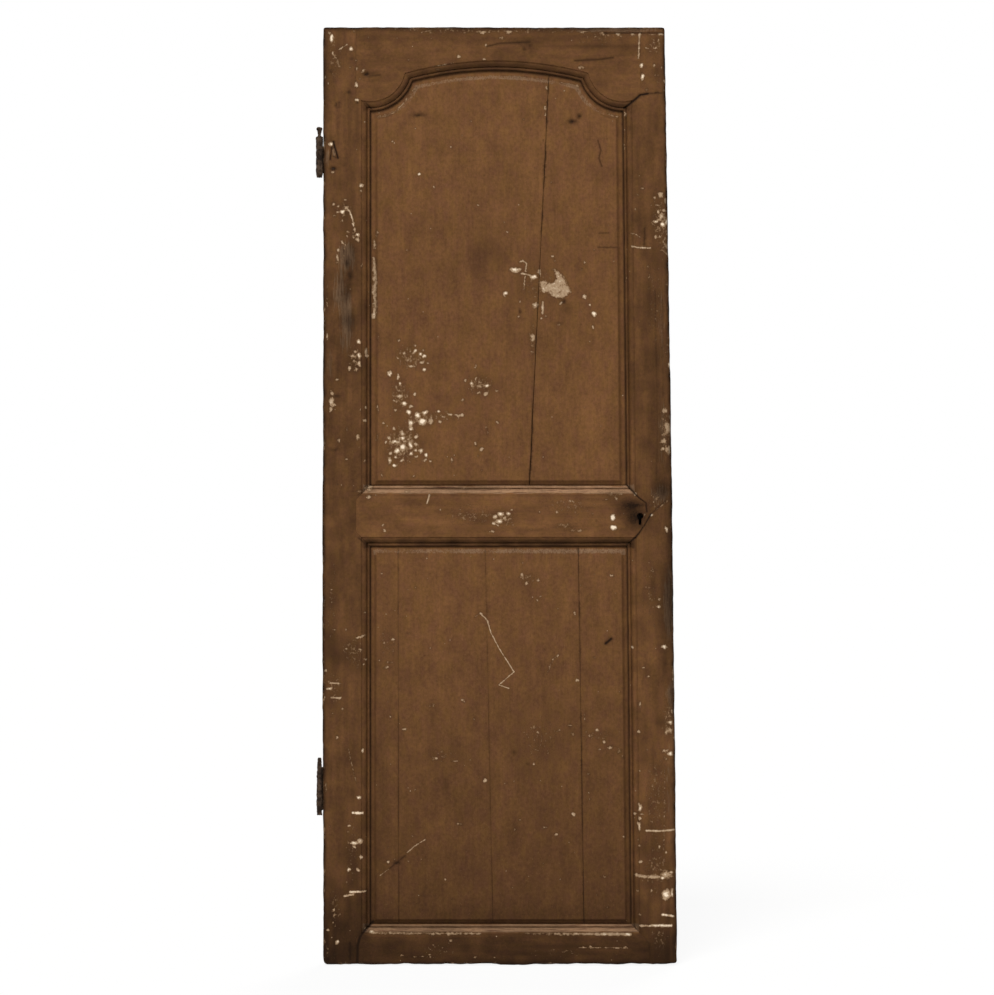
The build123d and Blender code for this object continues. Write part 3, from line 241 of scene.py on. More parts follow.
    (638.4, 732, 1.7, 1.8, 0.76), (671.6, 711, 1.2, 2.4, 0.86), (669.7, 722.4, 2, 1.9, 1.0),
    (669, 730, 2.4, 4.4, 0.72), (669.7, 753.7, 2.2, 2, 1.0), (667, 750.5, 1.5, 1.5, 0.74),
    (604.3, 742.4, 2.4, 1.7, 0.64), (610, 747.5, 2.8, 2, 0.62), (667, 731, 4.4, 5, 0.62),
    (664, 751.4, 2.4, 2, 0.64), (665, 758, 3, 2.5, 0.54), (640, 770.4, 1.3, 1.4, 0.62),
    (640, 807.6, 1.7, 3.8, 1.05), (635.8, 814, 2.2, 1.3, 0.8), (642, 814.6, 1.5, 1.2, 0.72),
    (639.7, 818.8, 1.8, 1.6, 1.0), (639.3, 826.5, 1.5, 4.6, 0.95), (638, 840, 1.3, 1.4, 0.72),
    (639, 846, 1.3, 1.4, 0.74), (640.7, 861.7, 2.4, 1.4, 0.92), (659, 847, 1.2, 2, 0.74),
    (666, 852, 1.2, 1.4, 0.72), (663, 861, 1.5, 3, 0.66), (666, 875, 7, 4.6, 0.74),
    (671, 872, 1.6, 1.8, 0.95), (662.5, 877.5, 1.8, 1.6, 0.95), (666, 894.5, 4, 5, 1.05),
    (672, 893, 1.1, 4.6, 0.95), (651, 890.5, 1.3, 1.6, 0.74), (638, 890.5, 2, 1.3, 0.56),
    (640, 915, 2, 1.4, 0.62), (641, 925.5, 1.8, 1.4, 1.0), (664.5, 800, 3, 40, 0.36),
    (662, 945, 10, 14, 0.36),
    # lower panel and bottom rail
    (389, 662.5, 4, 1.5, 0.54), (386.5, 668, 4, 1.8, 0.52), (379, 660.4, 1.2, 1.2, 0.66),
    (392.9, 639.2, 2.4, 1.6, 0.64), (384.2, 643.2, 1.6, 1.4, 0.64), (408.5, 633.7, 3, 1.2, 0.5),
    (415.5, 587.6, 2, 2, 0.58), (381.8, 573.8, 1.6, 1.6, 0.58), (390.3, 716.4, 1.5, 1.6, 0.64),
    (404.2, 729.5, 1.7, 1.7, 0.7), (432, 705.3, 4, 3, 0.42), (463.4, 701, 2.6, 2, 0.6),
    (474.7, 719, 1.5, 1.5, 0.55), (435.8, 759, 2.6, 2, 0.7), (454.7, 761.6, 3, 1.3, 0.7),
    (485.3, 780.3, 1.6, 2.3, 0.88), (410, 791.8, 1.5, 1.5, 0.6), (459.5, 824.2, 4, 1.3, 0.6),
    (515.3, 829, 1.4, 2, 0.54), (544.5, 828, 2.5, 1.6, 0.66), (556.3, 834, 1.6, 1.6, 0.72),
    (533.7, 728, 3, 2, 0.58), (538, 732.6, 1.5, 1.5, 0.66), (558, 730.8, 3, 1.2, 0.54),
    (533.7, 765, 1.6, 1.8, 0.6), (594.2, 657.8, 1.8, 1.8, 0.5), (570, 725.8, 1.8, 1.5, 0.7),
    (597.6, 731.3, 1.8, 1.7, 0.8), (590.3, 735.7, 3, 2.4, 0.52), (573.5, 734.7, 3, 3, 0.42),
    (618.9, 752.4, 2.6, 1.6, 0.56), (622.8, 757.4, 2, 2, 0.5), (599.2, 749.5, 2, 1.5, 0.5),
    (588.3, 774, 2, 2, 0.45), (585, 716, 1, 8, 0.48), (573.9, 814.5, 1.9, 2, 0.84),
    (451, 940.7, 2.5, 1.5, 0.6), (429.5, 954.2, 2, 1.3, 0.6), (402, 955.5, 2.4, 1.3, 0.55),
    (475.4, 958, 2, 1.6, 0.6), (494.7, 957.6, 1.6, 1.4, 0.55), (590, 947.4, 2.4, 1.2, 0.7),
    (625, 947.3, 3, 1.2, 0.64), (432.6, 934, 2.4, 1.6, 0.9), (449, 934, 3, 1.5, 0.84), (522, 576, 2, 3, 0.72),
    (526, 583, 2, 2, 0.7), (524.5, 578.5, 7, 9, 0.38), (538, 580, 1.7, 1.8, 0.74), (537, 600, 1.3, 1.6, 0.7),
    (575, 613, 1.5, 1.5, 0.8), (577, 680, 1.7, 1.6, 0.84), (388, 862, 1.5, 1.5, 1.0),
    (612, 575.6, 2.4, 1.1, 0.7), (480, 613.5, 2, 2, 0.66), (450, 640, 1.1, 1.1, 0.6),
    (425, 655, 1.1, 1.1, 0.58), (545, 650, 1.1, 1.1, 0.58), (560, 730, 1.2, 1.2, 0.6),
    (470, 760, 1.1, 1.1, 0.58), (415, 790, 1.2, 1.2, 0.6), (520, 820, 1.2, 1.2, 0.6),
    (590, 800, 1.2, 1.2, 0.6), (445, 880, 1.2, 1.2, 0.6), (604, 877, 3.4, 2.4, 0.5),
    (560, 880, 1.2, 1.2, 0.6), (608, 908, 2.4, 1.6, 0.5), (624, 837, 1.6, 1.3, 0.72),
    (626, 856, 2.4, 1.2, 0.5), (628, 934.4, 3.4, 1.5, 1.05), (440, 950, 30, 8, 0.34), (560, 952, 40, 7, 0.34),
    # stretches of fine flaking
    (490, 31, 150, 3, 0.42), (600, 38, 40, 8, 0.36), (655, 45, 9, 14, 0.42), (658, 75, 6, 16, 0.36),
    (410, 357, 17, 13, 0.46), (403, 445, 19, 20, 0.53), (420, 419, 16, 8, 0.5), (400, 395, 13, 22, 0.44),
    (480, 385, 14, 12, 0.47), (440, 416, 24, 6, 0.4), (345, 212, 10, 14, 0.4), (356, 232, 6, 9, 0.42),
    (356, 358, 9, 16, 0.44), (332, 400, 3, 16, 0.46), (342, 250, 6, 12, 0.38), (505, 519, 12, 9, 0.46),
    # (615, 494) here and (470, 488) below flake the lock rail's upward moulding, partly a painted highlight
    (470, 515, 30, 12, 0.4), (570, 506, 34, 11, 0.37), (565, 526, 14, 4, 0.42), (615, 494, 14, 5, 0.42),
    (470, 488, 60, 3, 0.38), (660, 222, 9, 22, 0.49), (667, 280, 4, 34, 0.42), (668, 350, 4, 34, 0.4),
    (664, 432, 7, 28, 0.45), (655, 500, 8, 14, 0.4), (655, 300, 10, 60, 0.34), (650, 590, 9, 40, 0.36),
    (668, 720, 6, 24, 0.44), (655, 800, 12, 70, 0.37), (655, 870, 14, 30, 0.39), (660, 940, 12, 20, 0.4),
    (540, 285, 24, 22, 0.36), (533, 340, 5, 24, 0.42), (528, 578, 10, 9, 0.4), (600, 735, 24, 8, 0.36),
    (388, 645, 10, 18, 0.36), (352, 650, 12, 18, 0.4), (335, 690, 8, 20, 0.4), (332, 600, 7, 60, 0.34),
    (352, 850, 10, 50, 0.36), (335, 910, 8, 30, 0.38), (335, 60, 9, 30, 0.38), (440, 755, 20, 8, 0.35),
    (540, 740, 24, 30, 0.33),
)
# Large flakes lifted off whole: strength, softness of its rim in pixels, outline
FLAKES = (
    (0.72, 2.2, (538.5, 281.5), (540.2, 291.5), (542.9, 293.5), (550.9, 293.9), (553.6, 296.9),
     (558.9, 299.6), (562.3, 298.2), (571, 292.9), (570.3, 288.2), (565.6, 278.8), (559.6, 270.8),
     (556.3, 268.1), (552.9, 269.4), (555.6, 272.1), (555.6, 279.5), (552.9, 281.5), (548.2, 281.8),
     (544.2, 278.8), (540.9, 280.1)),
    (0.66, 1.4, (371.6, 256), (375.5, 257), (377.4, 272), (376.8, 292), (377.6, 312), (375, 317.5),
     (372, 316), (371.2, 290)),
)
# Scratches through the paint: half width, strength, points
SCRATCHES = (
    (0.8, 0.66, (339, 49.5), (343, 47), (347, 44.5)), (0.8, 0.62, (333.5, 55), (337, 59), (339, 66)),
    (0.9, 0.85, (346, 207), (350, 212), (352.5, 219), (353.6, 226)),
    (1.0, 0.72, (519.4, 262), (522.8, 260.3), (526.5, 263.4), (525.6, 271)),
    (1.0, 0.78, (521, 273), (530, 275)), (1.0, 0.6, (525, 276), (524, 289)),
    (1.3, 0.8, (543, 302), (542.5, 313)),
    (0.7, 0.82, (480, 613), (487, 620), (491, 633), (500, 650), (507, 661), (514, 672)),
    (0.7, 0.78, (514, 672), (506, 679), (499, 685), (509, 688.5)),
    (0.6, 0.6, (474, 618), (480, 613), (489, 622)), (0.7, 0.7, (407, 853), (415, 846), (425, 840)),
    (0.6, 0.6, (380, 876), (390, 868)), (0.9, 0.82, (356.5, 638), (365, 635.5)),
    (0.9, 0.78, (330.7, 683), (340.4, 683.4)), (0.8, 0.82, (332, 697.6), (340.5, 698)),
    (0.6, 0.55, (348.3, 748.4), (352, 765), (356.8, 784)), (1.4, 1.05, (353, 813), (362.5, 813)),
    (1.2, 0.9, (344.5, 896), (353, 894.5)), (1.1, 0.92, (350, 892), (365.5, 891.4)),
    (1.1, 0.85, (646, 830.5), (660, 831), (673.5, 829.8)),
    (2.0, 0.74, (636, 874.5), (642, 876.5), (659, 877)), (1.3, 0.95, (662, 914.5), (673, 916)),
    (1.1, 0.82, (641, 925.5), (652, 926)), (1.4, 0.98, (652, 925.5), (671, 925.5)),
    # The four long strokes on this line and the next chip the arris of the bottom rail's upward fillet, and
    # are partly a painted highlight where it faces up
    (1.7, 0.8, (596, 934), (630, 934.4)), (1.6, 0.66, (555, 934), (600, 934)),
    (1.4, 0.5, (526, 933.6), (556, 934)), (1.6, 0.6, (372, 933), (480, 933.6)),
    (0.7, 0.58, (578, 947.5), (628, 948)), (1.1, 0.72, (639.5, 36), (639, 46), (638.6, 58)),
    (0.8, 0.6, (629, 233), (635, 234), (640, 237)), (0.9, 0.82, (631.5, 246.5), (641, 247.8), (650, 248)),
    (0.7, 0.5, (664, 770), (664.5, 800), (663.5, 850)), (1.0, 0.5, (656, 510), (668, 499.5)),
    (0.6, 0.5, (601, 36), (664, 34.4)), (0.6, 0.45, (612, 745), (622, 750)),
    (1.0, 0.85, (429.5, 495), (427, 503)),
    # The strokes on this line and the next follow the upward slopes of the ears and arch: a painted highlight
    # laid on as rubbed paint
    (1.7, 0.5, (376.5, 116.3), (386, 115), (396, 111), (402, 104), (407.5, 97), (411, 91.5), (416, 87)),
    (1.8, 0.5, (560, 82), (570, 83.2), (579, 85.6)), (1.6, 0.52, (607, 112), (613, 115.3), (618, 116)),
    (1.3, 0.46, (559, 655), (553, 659), (550, 666), (548, 672)),
    (1.0, 0.5, (433, 66.5), (442, 65), (453, 63)), (0.8, 0.46, (412, 957), (424, 956.5), (436, 957.5)),
)
# Places rubbed down to bare wood: x, y, half width, half height, strength
BARE = (
    (346, 256, 7, 12, 1.0), (334.4, 151.5, 2.2, 5, 0.8), (327.6, 157, 1.6, 9, 0.7), (340, 292, 6, 26, 0.72),
    (347, 318, 5, 24, 0.85), (344, 338, 5, 14, 0.6), (330, 366, 3, 16, 0.5), (612, 29.6, 52, 2.6, 0.7),
    (662, 430, 5, 40, 0.5), (661, 330, 4, 50, 0.45), (668, 605, 5, 34, 0.8), (670, 694, 4, 14, 0.7),
    (660, 494, 8, 9, 0.7), (374, 290, 2.4, 40, 0.4), (331, 952, 7, 14, 0.4), (668, 780, 3, 70, 0.4),
)
# Dark grease, damp and dirt: x, y, half width, half height, strength
STAINS = (
    (639, 516.4, 4.6, 4.4, 1.0), (634, 505.2, 11, 2.6, 0.9), (636, 516, 10, 12, 0.72),
    (619.5, 512, 5, 9, 0.4), (641, 524.5, 3, 4, 0.7), (627, 525.5, 3, 2.4, 0.5),
    (333.6, 168.8, 2.6, 1.4, 1.0), (366.6, 74, 2.6, 1.5, 1.0), (372, 73.5, 4, 1.4, 0.4),
    (335.6, 104.4, 1.4, 1.8, 0.75), (339, 102.6, 1.1, 1.4, 0.6), (338, 107, 2.2, 0.8, 0.6),
    (349.4, 92.8, 1.8, 1.5, 0.7), (331, 71.5, 1, 1.8, 0.6), (356.7, 103, 1, 1, 0.7),
    (351.6, 58.5, 1.6, 1.2, 0.5), (418, 114.5, 5, 1.7, 0.8), (572.5, 121, 3.6, 2, 0.85),
    (579.4, 115.6, 2, 1.8, 0.85), (564, 301.6, 2, 2.2, 0.95), (567.5, 308, 4.5, 5, 0.36),
    (520, 311, 1.2, 1.6, 0.8), (397, 863, 3, 1.4, 0.8), (347.6, 263, 2, 4.6, 0.7), (350, 246, 1.6, 5, 0.4),
    (353, 252, 1.6, 6, 0.45), (350.4, 276, 2, 4, 0.7), (348, 292, 2.6, 8, 0.5), (349.5, 322, 3, 10, 0.5),
    (353, 318, 1.6, 10, 0.55), (337, 396, 2.6, 1.4, 0.6), (335.5, 449.5, 3, 1.2, 0.5),
    (480, 256, 14, 10, 0.16), (334, 648, 9, 12, 0.25), (668, 605, 6, 38, 0.55), (671.6, 694, 2.6, 12, 0.7),
    (663, 490, 6, 8, 0.6), (669, 540, 3, 26, 0.5), (327, 960, 3.6, 4, 0.8), (350, 952, 1.6, 8, 0.8),
    (340, 955, 17, 11, 0.3), (661, 958, 14, 7, 0.3), (364, 933, 5, 6, 0.5), (653.4, 585, 3, 10, 0.35),
    # (455, 925) is painted shade along the lower panel's foot, where it meets the bottom rail's moulding
    (673, 780, 1.4, 22, 0.6), (660, 722, 4, 4, 0.35), (455, 925, 80, 2.4, 0.3), (596, 46, 20, 2.4, 0.28),
    (530, 45.3, 1.3, 1.2, 0.6), (524, 49.6, 1.3, 1.2, 0.6), (514, 752.6, 1.6, 1.6, 0.5),
    (527.4, 763.7, 1.5, 1.3, 0.5), (446.3, 787.4, 2.4, 5, 0.3), (674.5, 945, 2.6, 18, 0.7),
    (560, 40, 10, 3, 0.2), (631, 506, 12, 7, 0.85), (635, 517, 10, 11, 0.85), (662, 948, 14, 16, 0.42),
    (325.4, 75, 2.6, 46, 0.5), (650, 948, 1.4, 10, 0.5), (662, 938, 10, 1.6, 0.45), (664, 952, 9, 10, 0.3),
    (655, 120, 8, 20, 0.16), (657, 370, 10, 60, 0.2), (671, 420, 3, 90, 0.4), (673, 560, 3.5, 70, 0.6),
    (675, 860, 2, 80, 0.5),
)
# Dark scores and open joints of the face: half width, strength, points
CRACKS = (
    (1.2, 1.0, (373, 922), (366, 929), (360, 937), (357.6, 946), (357.4, 964)),
    (0.8, 0.85, (350, 943), (350.4, 960)),
    (1.0, 1.0, (624, 107.5), (629, 104.5), (635, 99.6), (640, 95), (648, 93.6)),
    (0.7, 0.7, (655, 92.6), (658, 92.4)), (0.7, 0.55, (648, 93.6), (664, 93)),
    (0.9, 0.6, (575, 60.6), (598, 59.6), (613, 57.5)), (0.7, 0.6, (487, 46.5), (500, 43.3), (530, 42)),
    (0.9, 0.9, (626.5, 545), (635.7, 537), (639.3, 532.6), (644, 526), (651, 514)),
    (0.7, 0.5, (651, 514), (665, 500)),
    (0.8, 0.85, (626, 484), (631, 489.5), (638, 497), (646, 503), (647, 512)),
    (0.7, 0.85, (331.6, 147), (330.4, 159.5)), (0.9, 0.95, (333.4, 141.5), (335, 148), (338, 158)),
    (0.7, 0.7, (331.5, 150), (334.5, 146)), (0.6, 0.6, (333, 156), (337, 158)),
    (0.7, 0.36, (655, 290), (656, 360), (657, 430), (656, 480)), (0.7, 0.34, (662, 300), (662, 396)),
    (1.2, 0.95, (605.8, 643.6), (611.3, 639)), (0.6, 0.6, (644.8, 228), (644.4, 245)),
    (0.6, 0.6, (598, 140), (601, 150), (599, 158), (602, 166)), (0.6, 0.45, (599, 233), (609, 232.5)),
    (0.6, 0.5, (598, 247), (620, 247.4)), (0.7, 0.5, (369, 76), (380, 75)),
    (0.8, 0.75, (669.6, 579), (669.9, 631)), (0.6, 0.7, (604, 33), (664, 33)),
    (0.7, 0.72, (366, 103), (372, 109)), (0.7, 0.6, (368, 547), (359, 538)),
    (0.6, 0.5, (369, 485), (358, 495)), (0.6, 0.6, (390, 868.5), (397, 862.5), (405, 856)),
)
# Dents and gouges: x, y, half width, half height, depth in millimetres
DENTS = (
    (418, 114.5, 5, 1.6, 1.2), (577, 118.5, 4, 2, 1.2), (366.6, 74, 2, 1.4, 3.0), (333.6, 168.8, 2, 1.3, 2.0),
    (346, 256, 6, 9, 1.6), (343, 300, 8, 26, 0.8), (347, 332, 6, 16, 0.7), (564, 301.6, 2, 2, 1.0),
    (639.5, 516, 6, 8, 1.2), (397, 863, 2, 1.4, 0.6), (370.5, 925, 4, 4, 1.5), (662, 222, 6, 9, 0.6),
    (666, 894, 5, 5, 0.6), (632, 516, 10, 12, 0.5),
)
# Softly darker or paler stretches of paint: x, y, half width, half height, share of lightness added
SHADES = (
    (342, 300, 8, 45, -0.06), (365, 515, 14, 20, -0.05), (352, 262, 10, 22, -0.1), (347, 320, 9, 40, -0.08),
    (668, 610, 8, 60, -0.2), (671, 520, 5, 50, -0.18), (660, 480, 10, 20, -0.1), (335, 650, 12, 18, -0.08),
    (350, 180, 14, 14, -0.05), (636, 200, 8, 60, -0.06), (480, 258, 16, 14, -0.05), (552, 335, 12, 20, -0.06),
    (600, 300, 14, 40, 0.03), (410, 440, 30, 40, 0.03), (590, 430, 20, 60, 0.04), (440, 620, 40, 40, 0.03),
    # (615, 489) lightens the lock rail's upward moulding: a painted highlight
    (380, 800, 6, 100, -0.05), (340, 930, 22, 36, -0.08), (575, 505, 20, 6, 0.05), (615, 489, 14, 3, 0.12),
    (632, 702, 1.6, 26, 0.03), (657, 638, 4, 14, 0.05), (352, 120, 16, 16, -0.03), (520, 43, 12, 4, -0.05),
    (420, 560, 40, 8, 0.03), (525, 915, 90, 8, -0.05),
)
# Lightness of the paint down each piece, as a share of its colour: photograph row, share
TONES = {
    "hinge_stile": (
        (30, 0.94), (120, 0.95), (200, 0.91), (450, 0.82), (620, 0.86),
        (800, 0.86), (880, 0.78), (925, 0.66), (964, 0.54),
    ),
    "lock_stile": (
        (30, 0.95), (120, 0.92), (200, 0.9), (420, 0.845), (600, 0.92),
        (800, 0.92), (880, 0.83), (925, 0.72), (964, 0.58),
    ),
    "top_rail": ((27, 0.9), (60, 0.93), (110, 0.96)),
    # The first rows are lighter where the sill moulding faces up: a painted highlight
    "lock_rail": ((485, 1.2), (492, 1.18), (496, 0.98), (550, 0.98)),
    # The first rows are lighter where the sill moulding faces up: a painted highlight
    "bottom_rail": ((918, 1.08), (931, 1.04), (937, 0.65), (964, 0.58)),
    "upper_panel": ((80, 1.03), (150, 1.02), (270, 0.975), (400, 0.99), (480, 0.98)),
    "lower_panel": ((550, 0.98), (735, 0.91), (850, 0.83), (900, 0.79), (920, 0.74)),
}
# Millimetres past the ends of a drawn line where its field is nothing
STROKE_REACH = 8.0
# Strength of a mark from which the mesh follows it closely
MARK_EDGE = 0.12
# Width over which worn edges move the face, at the sides and at the ends, and the worn corners' radii
SIDE_BLEND, END_BLEND, FOOT_ROUND, HEAD_ROUND = 40.0, 30.0, 11.0, 5.0


def drift(x, z, size, seed):
    """Smooth noise from -1 to 1 over the plan, on a lattice of the given size and seed."""
    u, v = np.asarray(x) / size, np.asarray(z) / size
    i, j = np.floor(u).astype(np.int64), np.floor(v).astype(np.int64)
    f, g = u - i, v - j
    f, g = f * f * (3 - 2 * f), g * g * (3 - 2 * g)

    def corner(a, b):
        h = (a * 374761393 + b * 668265263 + seed * 982451653) & 0xFFFFFFFF
        h = ((h ^ (h >> 13)) * 1274126177) & 0xFFFFFFFF
        return ((h ^ (h >> 16)) & 0xFFFF) / 32767.5 - 1

    low = corner(i, j) * (1 - f) + corner(i + 1, j) * f
    high = corner(i, j + 1) * (1 - f) + corner(i + 1, j + 1) * f
    return low * (1 - g) + high * g


def run_distance(x, z, points):
    """Distance of plan points to a run of straight segments."""
    best = np.full(np.shape(x), 1e9)
    for (ax, az), (bx, bz) in zip(points, points[1:]):
        length = max((bx - ax) ** 2 + (bz - az) ** 2, 1e-9)
        t = np.clip(((x - ax) * (bx - ax) + (z - az) * (bz - az)) / length, 0, 1)
        best = np.minimum(best, np.hypot(x - ax - t * (bx - ax), z - az - t * (bz - az)))
    return best


def spots(marks, x, z):
    """Field of a list of oval marks, the strongest at each point; each falls to about half at its rim."""
    field = np.zeros(np.shape(x))
    for px, py, half_width, half_height, strength in marks:
        cx, cz = on_leaf(px, py)
        u, v = (x - cx) / (half_width * PIXEL), (z - cz) / (half_height * PIXEL)
        near = (np.abs(u) < 3) & (np.abs(v) < 3)
        if near.any():
            field[near] = np.maximum(field[near], strength * np.exp(-0.6 * (u[near] ** 2 + v[near] ** 2)))
    return field


def strokes(lines, x, z):
    """Field of a list of drawn lines, the strongest at each point."""
    field = np.zeros(np.shape(x))
    for half_width, strength, *points in lines:
        run = [on_leaf(*point) for point in points]
        (left, low), (right, high) = np.min(run, axis=0) - STROKE_REACH, np.max(run, axis=0) + STROKE_REACH
        near = (x > left) & (x < right) & (z > low) & (z < high)
        if near.any():
            away = run_distance(x[near], z[near], run) / (half_width * PIXEL)
            field[near] = np.maximum(field[near], strength * np.exp(-0.6 * away * away))
    return field


def flakes_off(shapes, x, z):
    """Field of a list of outlined flakes, each with a soft rim."""
    field = np.zeros(np.shape(x))
    for strength, softness, *points in shapes:
        loop = [on_leaf(*point) for point in points]
        inside = run_distance(x, z, loop + loop[:1]) * np.where(within(x, z, loop), 1, -1)
        field = np.maximum(field, strength * np.clip(0.55 + 0.45 * inside / (softness * PIXEL), 0, 1))
    return field


def shading(x, z):
    """Share of lightness that the soft darker and paler stretches add."""
    field = np.zeros(np.shape(x))
    for px, py, half_width, half_height, share in SHADES:
        cx, cz = on_leaf(px, py)
        u, v = (x - cx) / (half_width * PIXEL), (z - cz) / (half_height * PIXEL)
        field = field + share * np.exp(-0.7 * (u * u + v * v))
    return field


# Chips too small for the plain mesh
SMALL_CHIPS = [mark for mark in CHIPS if min(mark[2], mark[3]) < 3]


def marked(x, z):
    """Strength of the small marks at plan points, which the mesh has to follow closely."""
    lines = np.maximum(strokes(SCRATCHES, x, z), strokes(CRACKS, x, z))
    return np.maximum(np.maximum(spots(SMALL_CHIPS, x, z), lines), flakes_off(FLAKES, x, z))


def rim_distance(x, z):
    """Distance to the nearest outer edge of the leaf."""
    sides = np.minimum(x - HINGE_EDGE, lock_edge(z) - x)
    return np.maximum(np.minimum(sides, np.minimum(z - FOOT, HEAD - z)), 0)


def settled(x, z):
    """The leaf's outline as age left it: bowed lock edge, nibbled edges, worn foot, rounded corners."""
    x, z = np.array(x, float), np.array(z, float)
    rise = (z - FOOT) / (HEAD - FOOT)
    level = np.zeros(np.shape(z))
    at_lock = np.clip((x - lock_edge(z) + SIDE_BLEND) / SIDE_BLEND, 0, 1)
    at_hinge = np.clip((HINGE_EDGE + SIDE_BLEND - x) / SIDE_BLEND, 0, 1)
    at_foot = np.clip((FOOT + END_BLEND - z) / END_BLEND, 0, 1)
    at_head = np.clip((z - HEAD + END_BLEND) / END_BLEND, 0, 1)
    nibble = 0.6 * drift(z, level, 37, 3) + 0.3 * drift(z, level, 11, 8)
    x = x + at_lock * (2.8 * np.sin(math.pi * np.clip(rise, 0, 1)) + nibble)
    nibble = 0.6 * drift(z, level, 33, 4) + 0.35 * drift(z, level, 10, 9)
    x = x - at_hinge * (2.0 * np.exp(-(((rise - 0.38) / 0.2) ** 2)) + nibble)
    nibble = 1.8 * drift(x, level, 85, 5) + 1.1 * drift(x, level, 23, 6) + 0.5 * drift(x, level, 9, 10)
    z = z + at_foot * nibble
    z = z + at_head * (0.5 * drift(x, level, 70, 7) + 0.4 * drift(x, level, 11, 11))
    for edge, side in ((HINGE_EDGE, 1), (None, -1)):
        for end, way, radius in ((FOOT, 1, FOOT_ROUND), (HEAD, -1, HEAD_ROUND)):
            across = (x - (lock_edge(z) if edge is None else edge)) * side
            along = (z - end) * way
            inside = (across < radius) & (along < radius)
            length = np.maximum(np.hypot(radius - across, radius - along), 1e-6)
            pull = np.where(inside & (length > radius), radius / length, 1.0)
            x = x + side * (radius - across) * (1 - pull)
            z = z + way * (radius - along) * (1 - pull)
    return x, z


# Plan geometry
def arc(centre, radius, start, end, step):
    """Points of an arc between two angles, both ends included."""
    count = max(2, int(abs(end - start) * radius / step) + 1)
    return [
        (centre[0] + radius * math.cos(a), centre[1] + radius * math.sin(a))
        for a in np.linspace(start, end, count)
    ]


def circles_cross(first, first_radius, second, second_radius, side):
    """The crossing of two circles that lies furthest to one side in X."""
    dx, dz = second[0] - first[0], second[1] - first[1]
    gap = math.hypot(dx, dz)
    along = (gap * gap + first_radius**2 - second_radius**2) / (2 * gap)
    off = math.sqrt(max(first_radius**2 - along**2, 0.0))
    both = [
        (first[0] + (along * dx - sign * off * dz) / gap, first[1] + (along * dz + sign * off * dx) / gap)
        for sign in (1, -1)
    ]
    return max(both, key=lambda point: point[0] * side)


class Opening:
    """One panel opening of the frame; offsets run outwards from its sight line."""

    def __init__(self, sill, head=None):
        self.sill, self.head = sill, head

    def offset(self, x, z):
        """How far a point lies outside the sight line, negative inside the opening."""
        away = np.maximum(np.maximum(HINGE_SIGHT - x, (x - lock_sight(z)) / SLANT), self.sill - z)
        if self.head is not None:
            return np.maximum(away, z - self.head)
        away = np.maximum(away, np.hypot(x - ARCH_CENTRE[0], z - ARCH_CENTRE[1]) - ARCH_RADIUS)
        for ear in EARS:
            away = np.maximum(away, EAR_RADIUS - np.hypot(x - ear[0], z - ear[1]))
        return away

    def corner(self, end, side, d):
        """Corner of the sight line set out by d; end is foot or head, side hinge or lock."""
        if end == "foot":
            z = self.sill - d
        elif self.head is not None:
            z = self.head + d
        else:
            z = EAR_FOOT
            ear = EARS[side == "lock"]
            for _ in range(4):
                x = HINGE_SIGHT - d if side == "hinge" else lock_sight(z) + d * SLANT
                z = ear[1] - math.sqrt((EAR_RADIUS - d) ** 2 - (x - ear[0]) ** 2)
        return (HINGE_SIGHT - d if side == "hinge" else lock_sight(z) + d * SLANT), z

    def foot_line(self, d):
        """Foot of the sight line set out by d."""
        return [self.corner("foot", "hinge", d), self.corner("foot", "lock", d)]

    def side_line(self, side, d):
        """One side of the sight line set out by d."""
        return [self.corner("foot", side, d), self.corner("head", side, d)]

    def head_line(self, d, step):
        """Head of the opening from the hinge side to the lock side, with ears and arch if shaped."""
        start, end = self.corner("head", "hinge", d), self.corner("head", "lock", d)
        if self.head is not None:
            return [start, end]
        cusps = [
            circles_cross(ear, EAR_RADIUS - d, ARCH_CENTRE, ARCH_RADIUS + d, side)
            for ear, side in zip(EARS, (1, -1))
        ]

        def angle(centre, point):
            return math.atan2(point[1] - centre[1], point[0] - centre[0])

        line = arc(EARS[0], EAR_RADIUS - d, angle(EARS[0], start), angle(EARS[0], cusps[0]), step)
        arch_from, arch_to = (angle(ARCH_CENTRE, cusp) for cusp in cusps)
        line += arc(ARCH_CENTRE, ARCH_RADIUS + d, arch_from, arch_to, step)[1:]
        to_lock = angle(EARS[1], cusps[1])
        to_lock = to_lock - 2 * math.pi if to_lock > 0 else to_lock
        line += arc(EARS[1], EAR_RADIUS - d, to_lock, angle(EARS[1], end), step)[1:]
        return line


UPPER = Opening(UPPER_SILL)
LOWER = Opening(LOWER_SILL, LOWER_HEAD)


def ovolo_profile(d):
    """Depth of the frame's edge moulding, d out from the sight line: bead, quirk, ovolo, fillet."""
    d = np.asarray(d, float)
    half = BEAD / 2
    ovolo_out = BEAD + QUIRK + OVOLO
    bead = MOULDING_DEPTH - np.sqrt(np.maximum(half**2 - (np.clip(d, 0, BEAD) - half) ** 2, 0))
    across = ovolo_out - np.clip(d, BEAD + QUIRK, ovolo_out)
    ovolo = MOULDING_DEPTH - np.sqrt(np.maximum(OVOLO**2 - across**2, 0))
    step = FILLET_DEPTH * np.clip((MOULDING - d) / 0.8, 0, 1)
    depth = np.where(d < BEAD, bead, np.where(d < BEAD + QUIRK, MOULDING_DEPTH - 0.3, ovolo))
    return np.where(d < ovolo_out, depth, step)


def fielded_profile(d, field_d, margin):
    """Depth of a raised panel: d counts from the sight line, field_d from where its field sits."""
    flat = margin - FIELD_SLOPE
    level = TONGUE_DEPTH + (TONGUE_DEPTH - MARGIN_DEPTH) * np.clip(d, -flat, 0) / flat
    rise = np.clip((-flat - field_d) / FIELD_SLOPE, 0, 1)
    return level + (FIELD_DEPTH - level) * rise


